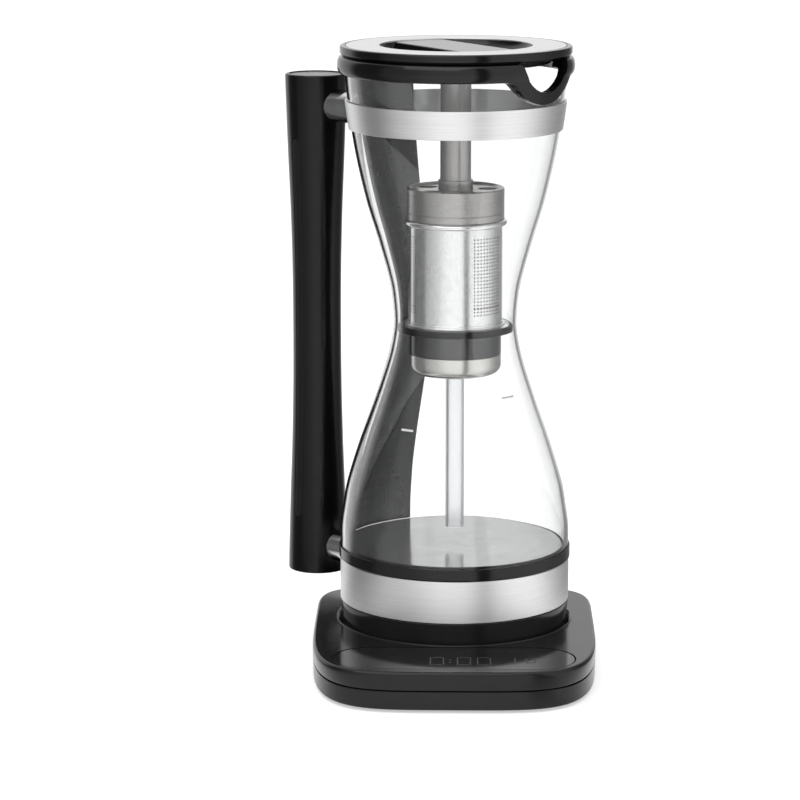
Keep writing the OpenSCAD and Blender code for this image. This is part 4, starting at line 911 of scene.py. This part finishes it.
# Stem on the cap
STEM_RADIUS, STEM_TOP = 6.4, high("stem_tube")
STEM_BORE = 2.1
stem = lathe("stem_pipe", [(STEM_BORE, CAP_TOP - 0.8), (STEM_RADIUS, CAP_TOP - 0.8),
                           (STEM_RADIUS, STEM_TOP, 0.35), (STEM_RADIUS - 0.8, STEM_TOP, 0.3),
                           (STEM_RADIUS - 0.8, CAP_TOP + 10), (STEM_BORE, CAP_TOP + 10)])
dress(stem, STEM_STEEL, "cap", "grey_steel", "stem_tube")
RING_TOP, RING_RADIUS = high("stem_ring") - 1.6, radius("stem_ring")
stem_ring = lathe("stem_foot_ring", [
    (STEM_RADIUS + 0.03, CAP_TOP - 0.85), (RING_RADIUS, CAP_TOP - 0.85, 0.2),
    (RING_RADIUS, CAP_TOP + 0.5, 0.15), (RING_RADIUS - 0.25, CAP_TOP + 0.65, 0.1),
    (RING_RADIUS, CAP_TOP + 0.8, 0.15), (RING_RADIUS, RING_TOP, 0.35), (STEM_RADIUS + 0.03, RING_TOP, 0.1)])
dress(stem_ring, STEM_STEEL, "cap", "grey_steel", "stem_ring")

# Waist: hoop, sleeve, lower cup and siphon tube
HOOP_LOW, HOOP_TOP, HOOP_RADIUS = extent("waist_hoop")
hoop = lathe("waist_seal_hoop", [(HOOP_RADIUS - 1.3, HOOP_LOW), (HOOP_RADIUS, HOOP_LOW, 0.5),
                                 (HOOP_RADIUS, HOOP_TOP, 0.6), (HOOP_RADIUS - 1.3, HOOP_TOP, 0.4)])
dress(hoop, RUBBER_BLACK, "jug", "black_rubber", "waist_hoop")
SLEEVE_LOW, SLEEVE_TOP, SLEEVE_RADIUS = extent("basket_sleeve")
SLEEVE_BORE = 17.75
sleeve = lathe("basket_grip_sleeve", [(SLEEVE_BORE, SLEEVE_LOW), (SLEEVE_RADIUS, SLEEVE_LOW, 0.35),
                                      (SLEEVE_RADIUS, SLEEVE_TOP, 0.35), (SLEEVE_BORE, SLEEVE_TOP)])
dress(sleeve, SLEEVE_BLACK, "basket", "black_rubber", "basket_sleeve")
CUP_LOW, CUP_HIGH, BUSH_HOLE = low("bottom_cup"), high("bottom_cup"), radius("tube_bush") - 0.85
lower_cup = lathe("basket_lower_cup", [(BUSH_HOLE, CUP_LOW), (SLEEVE_RADIUS, CUP_LOW, 5.5),
                                       (SLEEVE_RADIUS, CUP_HIGH, 0.25), (SLEEVE_BORE, CUP_HIGH),
                                       (SLEEVE_BORE, CUP_LOW + 1.2, 4.5), (BUSH_HOLE, CUP_LOW + 1.2)])
dress(lower_cup, CUP_STEEL, "basket", "brushed_band", "bottom_cup")
TUBE_LOW, TUBE_TOP, TUBE_RADIUS = extent("siphon_tube")
tube = lathe("siphon_pipe", [(TUBE_RADIUS - 1, TUBE_LOW, 0.3), (TUBE_RADIUS, TUBE_LOW, 0.5),
                             (TUBE_RADIUS, TUBE_TOP), (TUBE_RADIUS - 1, TUBE_TOP)], segments=96)
dress(tube, FROSTED, "basket", "clear_tube", "siphon_tube")
tube.visible_shadow = False

# Tick lines printed on the glass
def tick(name, azimuth, z, sweep, height):
    """Thin printed line that follows the glass."""
    z0, z1 = z - height / 2, z + height / 2
    return lathe(name, segments=720, span=(azimuth, sweep), profile=(
        glass_line(z0, z1, 0.05, 0.5) + glass_line(z1, z0, 0.01, 0.5)))


dress(tick("level_tick_white", -32.5, 103.6, 9.0, 0.85), PRINT_WHITE, "jug", None, angle=50)
dress(tick("level_tick_grey", 42.7, 116.2, 11.5, 0.7), PRINT_GREY, "jug", None, angle=50)

# Lid
LID_TOP, LID_SEAT = high("lid_plate"), SPOUT_SEAT
LID_RADIUS = radius("lid_body")
BOWL_RADIUS, BOWL_DEPTH = 31.5, 9.6


def bowl_line(grow, end, steps=28):
    points = []
    for k in range(steps + 1):
        a = math.radians(end * k / steps)
        across, down = (BOWL_RADIUS + grow) * math.sin(a), (BOWL_DEPTH + grow) * math.cos(a)
        points.append(Vector((across, LID_TOP - down)))
    return points


PLATE_LOW, PLATE_RADIUS = low("lid_plate"), radius("lid_plate")
ROOF = LID_SEAT + 0.8
PLUG_LOW, SKIRT, SKIRT_WALL, LIP = low("lid_seal") - 0.7, 38.6, 1.4, 39.5
SEAL_GROOVE_LOW = low("lid_seal") - 0.15
bowl_edge = math.degrees(math.acos((LID_TOP - PLATE_LOW) / BOWL_DEPTH))
under_edge = math.degrees(math.acos((LID_TOP - ROOF) / (BOWL_DEPTH + 1.5)))
lid = lathe("lid_shell", segments=256, profile=[
    *bowl_line(0, bowl_edge, 40),
    (PLATE_RADIUS + 0.1, PLATE_LOW), (PLATE_RADIUS + 0.1, LID_TOP - 0.05, 0.15),
    (LID_RADIUS, LID_TOP - 0.05, 0.8), (LID_RADIUS, LID_SEAT + 1.25, 0.5),
    (LID_RADIUS - 1.15, LID_SEAT + 0.05, 0.2), (SKIRT, LID_SEAT), (SKIRT, SEAL_GROOVE_LOW),
    (LIP, SEAL_GROOVE_LOW, 0.15), (LIP, PLUG_LOW, 0.3),
    (SKIRT - SKIRT_WALL, PLUG_LOW, 0.3), (SKIRT - SKIRT_WALL, ROOF, 0.4),
    *reversed(bowl_line(1.5, under_edge))])
GRIP_AZIMUTH, GRIP_WIDTH = 32.0, 22.8
GRIP_LOW, GRIP_TOP = low("lid_grip"), high("lid_grip")


def grip_outline(half, reach, steps=16):
    """Bar across the recess with ends that follow a circle, as points in the plane."""
    a = math.radians(GRIP_AZIMUTH)
    along, side = Vector((math.sin(a), -math.cos(a))), Vector((math.cos(a), math.sin(a)))
    swing = math.asin(half / reach)
    points = []
    for turn in (1, -1):
        for k in range(steps + 1):
            b = swing * (2 * k / steps - 1)
            points.append(AXIS.xy + turn * (along * reach * math.cos(b) + side * reach * math.sin(b)))
    return points


block = prism("grip_block", grip_outline(GRIP_WIDTH / 2 - 0.25, BOWL_RADIUS + 0.5),
              LID_TOP - BOWL_DEPTH - 0.5, GRIP_LOW)
inside = lathe("bowl_inside", [*bowl_line(0.3, 88, 40), (0, LID_TOP - 0.1)], segments=256)
combine(block, inside, "INTERSECT")
combine(lid, block, "UNION")
dress(lid, GLOSS_BLACK, "lid", "gloss_black", "lid_body", angle=40, weighted=False)
plate = lathe("lid_steel_plate", [(BOWL_RADIUS, PLATE_LOW), (PLATE_RADIUS - 0.25, PLATE_LOW),
                                  (PLATE_RADIUS - 0.25, LID_TOP, 0.2), (BOWL_RADIUS, LID_TOP, 0.3)],
              segments=256)
dress(plate, LID_STEEL, "lid", "satin_steel", "lid_plate")
grip = prism("lid_grip_bar", grip_outline(GRIP_WIDTH / 2, BOWL_RADIUS - 0.6), GRIP_LOW, GRIP_TOP)
bevel(grip, 0.3, 3, 40)
dress(grip, GRIP_STEEL, "lid", "satin_grey", "lid_grip")

# Feet under the base
FOOT_TOP = high("base_feet")
FOOT_OUTLINE = [(0, 0.25), (3.4, 0.25, 0.2), (3.7, 0, 0.1), (6, 0, 0.4), (6, FOOT_TOP), (0, FOOT_TOP)]
feet = []
for x, y in ((42, -70), (-42, -70), (36, 34), (-36, 34)):
    feet.append(lathe("foot", FOOT_OUTLINE, centre=Vector((AXIS.x + x, AXIS.y + y, 0)), segments=48))
dress(join("rubber_feet", feet), FOOT_RUBBER, "base", "grey_rubber", "base_feet")

# Plain materials on the CAD nodes that stay
KEPT = [
    (DISPLAY_GREY, "display_module"), (BRASS, "touch_springs", "base_contacts", "jug_contacts"),
    (BOARD_GREEN, "control_board", "power_board"), (RELAY_BLUE, "power_relay"),
    (MATT_BLACK, "base_connector", "jug_floor", "jug_connector"), (RUBBER_BLACK, "cord_gland", "lid_seal"),
    (PLAIN_STEEL, "base_screws", "floor_screws", "handle_core", "arm_screws", "stem_screw"),
    (ELEMENT_STEEL, "heating_element"), (ALUMINIUM, "heat_spreader"), (CERAMIC, "thermal_cutoff"),
    (PLATE_STEEL, "heating_plate"), (ARM_CHROME, "upper_arm", "lower_arm"),
    (CLEAR_WEB, "waist_web", "tube_bush"), (MESH_STEEL, "filter_disc")
]
for mat, *names in KEPT:
    for name in names:
        for slot in NODES[name].material_slots:
            slot.material = mat
for name in ("waist_web", "tube_bush"):
    NODES[name].visible_shadow = False


# Stage: pale floor, white surroundings, soft lamps
def seen_directly(tree):
    """1 for rays from the camera, also through glass, that no surface has reflected before."""
    path = tree.nodes.new("ShaderNodeLightPath")
    seen = math_node(tree, "MAXIMUM", path.outputs["Is Camera Ray"], path.outputs["Is Transmission Ray"])
    for depth in ("Glossy Depth", "Diffuse Depth"):
        before = math_node(tree, "LESS_THAN", path.outputs[depth], 0.5)
        seen = math_node(tree, "MULTIPLY", seen, before)
    return seen


def stops(tree, factor, values):
    """Value between stops of (place, value), for a factor of 0 to 1."""
    node = tree.nodes.new("ShaderNodeValToRGB")
    ramp = node.color_ramp
    for i, (place, value) in enumerate(values):
        stop = ramp.elements[i] if i < 2 else ramp.elements.new(place)
        stop.position = place
        stop.color = (value, value, value, 1)
    tree.links.new(factor, node.inputs[0])
    return node.outputs[0]


# Brightness of the studio round the object: azimuth in degrees from the front, and elevation
ROUND = [(-180, 0.95), (-128, 0.95), (-114, 0.12), (-82, 0.12), (-72, 0.4), (-42, 0.6), (-20, 0.92),
         (18, 1.0), (22, 0.12), (30, 0.12), (35, 1.0), (70, 1.0), (88, 0.75), (104, 0.4), (124, 0.2),
         (150, 0.22), (166, 0.95), (180, 0.95)]
NEAR_FLOOR, FAR_FLOOR = 0.09, 0.14
UPWARDS = [(-90, 0.0), (35, 0.0), (60, 1.0), (90, 1.0)]
TOP_LEVEL = 1.0
FLOOR_GLOW, DIRECT_GLOW = 0.3, 0.2


def round_level(tree, x, y):
    """Brightness of the studio towards x and y, with y away from the front."""
    turn = math_node(tree, "DIVIDE", math_node(tree, "ARCTAN2", x, y), math.tau)
    return stops(tree, math_node(tree, "ADD", turn, 0.5), [(a / 360 + 0.5, v) for a, v in ROUND])


def make_floor():
    mat, tree, bsdf = material("pale_floor")
    bsdf.inputs["Roughness"].default_value = 0.9
    bsdf.inputs["Specular IOR Level"].default_value = 0.1
    speckle = noise(tree, object_coords(tree), 300.0)
    pale = tint(tree, speckle, (0.82, 0.82, 0.82), (0.85, 0.85, 0.85))
    direct = seen_directly(tree)
    split = add(tree, "ShaderNodeSeparateXYZ", {0: object_coords(tree)})
    x = math_node(tree, "SUBTRACT", split.outputs[0], AXIS.x * MM)
    y = math_node(tree, "SUBTRACT", AXIS.y * MM, split.outputs[1])
    far = between(tree, length(tree, x, y), 0.0, 1.0, NEAR_FLOOR, FAR_FLOOR)
    studio = math_node(tree, "ADD", math_node(tree, "MULTIPLY", round_level(tree, x, y), far),
                       math_node(tree, "SUBTRACT", 1.0, far))
    level = math_node(tree, "MAXIMUM", direct, studio)
    bsdf_colour = add(tree, "ShaderNodeVectorMath", {0: pale, 1: level}, operation="MULTIPLY")
    tree.links.new(bsdf_colour.outputs[0], bsdf.inputs["Base Color"])
    bsdf.inputs["Emission Color"].default_value = (1, 1, 1, 1)
    direct_glow = math_node(tree, "MULTIPLY", direct, DIRECT_GLOW)
    glow = math_node(tree, "MULTIPLY", level, math_node(tree, "ADD", FLOOR_GLOW, direct_glow))
    tree.links.new(glow, bsdf.inputs["Emission Strength"])
    size = 4000.0
    floor = new_object("floor", [(-size, -size, 0), (size, -size, 0), (size, size, 0), (-size, size, 0)],
                       [(0, 1, 2, 3)])
    floor.data.materials.append(mat)


def make_world():
    world = bpy.data.worlds.new("studio")
    bpy.context.scene.world = world
    world.use_nodes = True
    tree = world.node_tree
    way = add(tree, "ShaderNodeSeparateXYZ", {0: tree.nodes.new("ShaderNodeTexCoord").outputs["Generated"]})
    lift = math_node(tree, "ARCSINE", way.outputs[2])
    lift = math_node(tree, "ADD", math_node(tree, "DIVIDE", lift, math.pi), 0.5)
    around_it = round_level(tree, way.outputs[0], math_node(tree, "MULTIPLY", way.outputs[1], -1.0))
    upward = stops(tree, lift, [(e / 180 + 0.5, v) for e, v in UPWARDS])
    rest = math_node(tree, "MULTIPLY", around_it, math_node(tree, "SUBTRACT", 1.0, upward))
    studio = math_node(tree, "ADD", rest, math_node(tree, "MULTIPLY", upward, TOP_LEVEL))
    level = math_node(tree, "MAXIMUM", seen_directly(tree), studio)
    background = tree.nodes["Background"]
    background.inputs["Color"].default_value = (1, 1, 1, 1)
    tree.links.new(level, background.inputs["Strength"])


make_floor()
make_world()


def softbox(name, azimuth, elevation, distance, width, height, power, target_z=130.0):
    """Rectangular soft lamp that looks at the jug."""
    data = bpy.data.lights.new(name, "AREA")
    data.shape = "RECTANGLE"
    data.size, data.size_y = width * MM, height * MM
    data.energy = power
    lamp = bpy.data.objects.new(name, data)
    bpy.context.scene.collection.objects.link(lamp)
    e = math.radians(elevation)
    place = toward(azimuth, distance * math.cos(e), target_z + distance * math.sin(e))
    aim = Vector((AXIS.x, AXIS.y, target_z)) - place
    lamp.matrix_world = Matrix.Translation(place * MM) @ aim.to_track_quat("-Z", "Y").to_matrix().to_4x4()
    return lamp


softbox("top_left_box", -25, 55, 1500, 1400, 1400, 7)

# Camera, fitted to the photograph
PHOTO = 800
FOCAL_PIXELS = 3273.4
CAMERA_DISTANCE, CAMERA_HEIGHT = 1345.8, 379.6
PITCH, YAW = 11.32, 0.98
SENSOR = 36.0
camera_data = bpy.data.cameras.new("camera")
camera_data.sensor_width = SENSOR
camera_data.lens = SENSOR * FOCAL_PIXELS / PHOTO
camera_data.clip_end = 50.0
camera = bpy.data.objects.new("camera", camera_data)
bpy.context.scene.collection.objects.link(camera)
camera.location = Vector((AXIS.x, AXIS.y - CAMERA_DISTANCE, CAMERA_HEIGHT)) * MM
camera.rotation_euler = (math.radians(90 - PITCH), 0, math.radians(YAW))
bpy.context.scene.camera = camera
bpy.context.scene.view_settings.view_transform = "Standard"
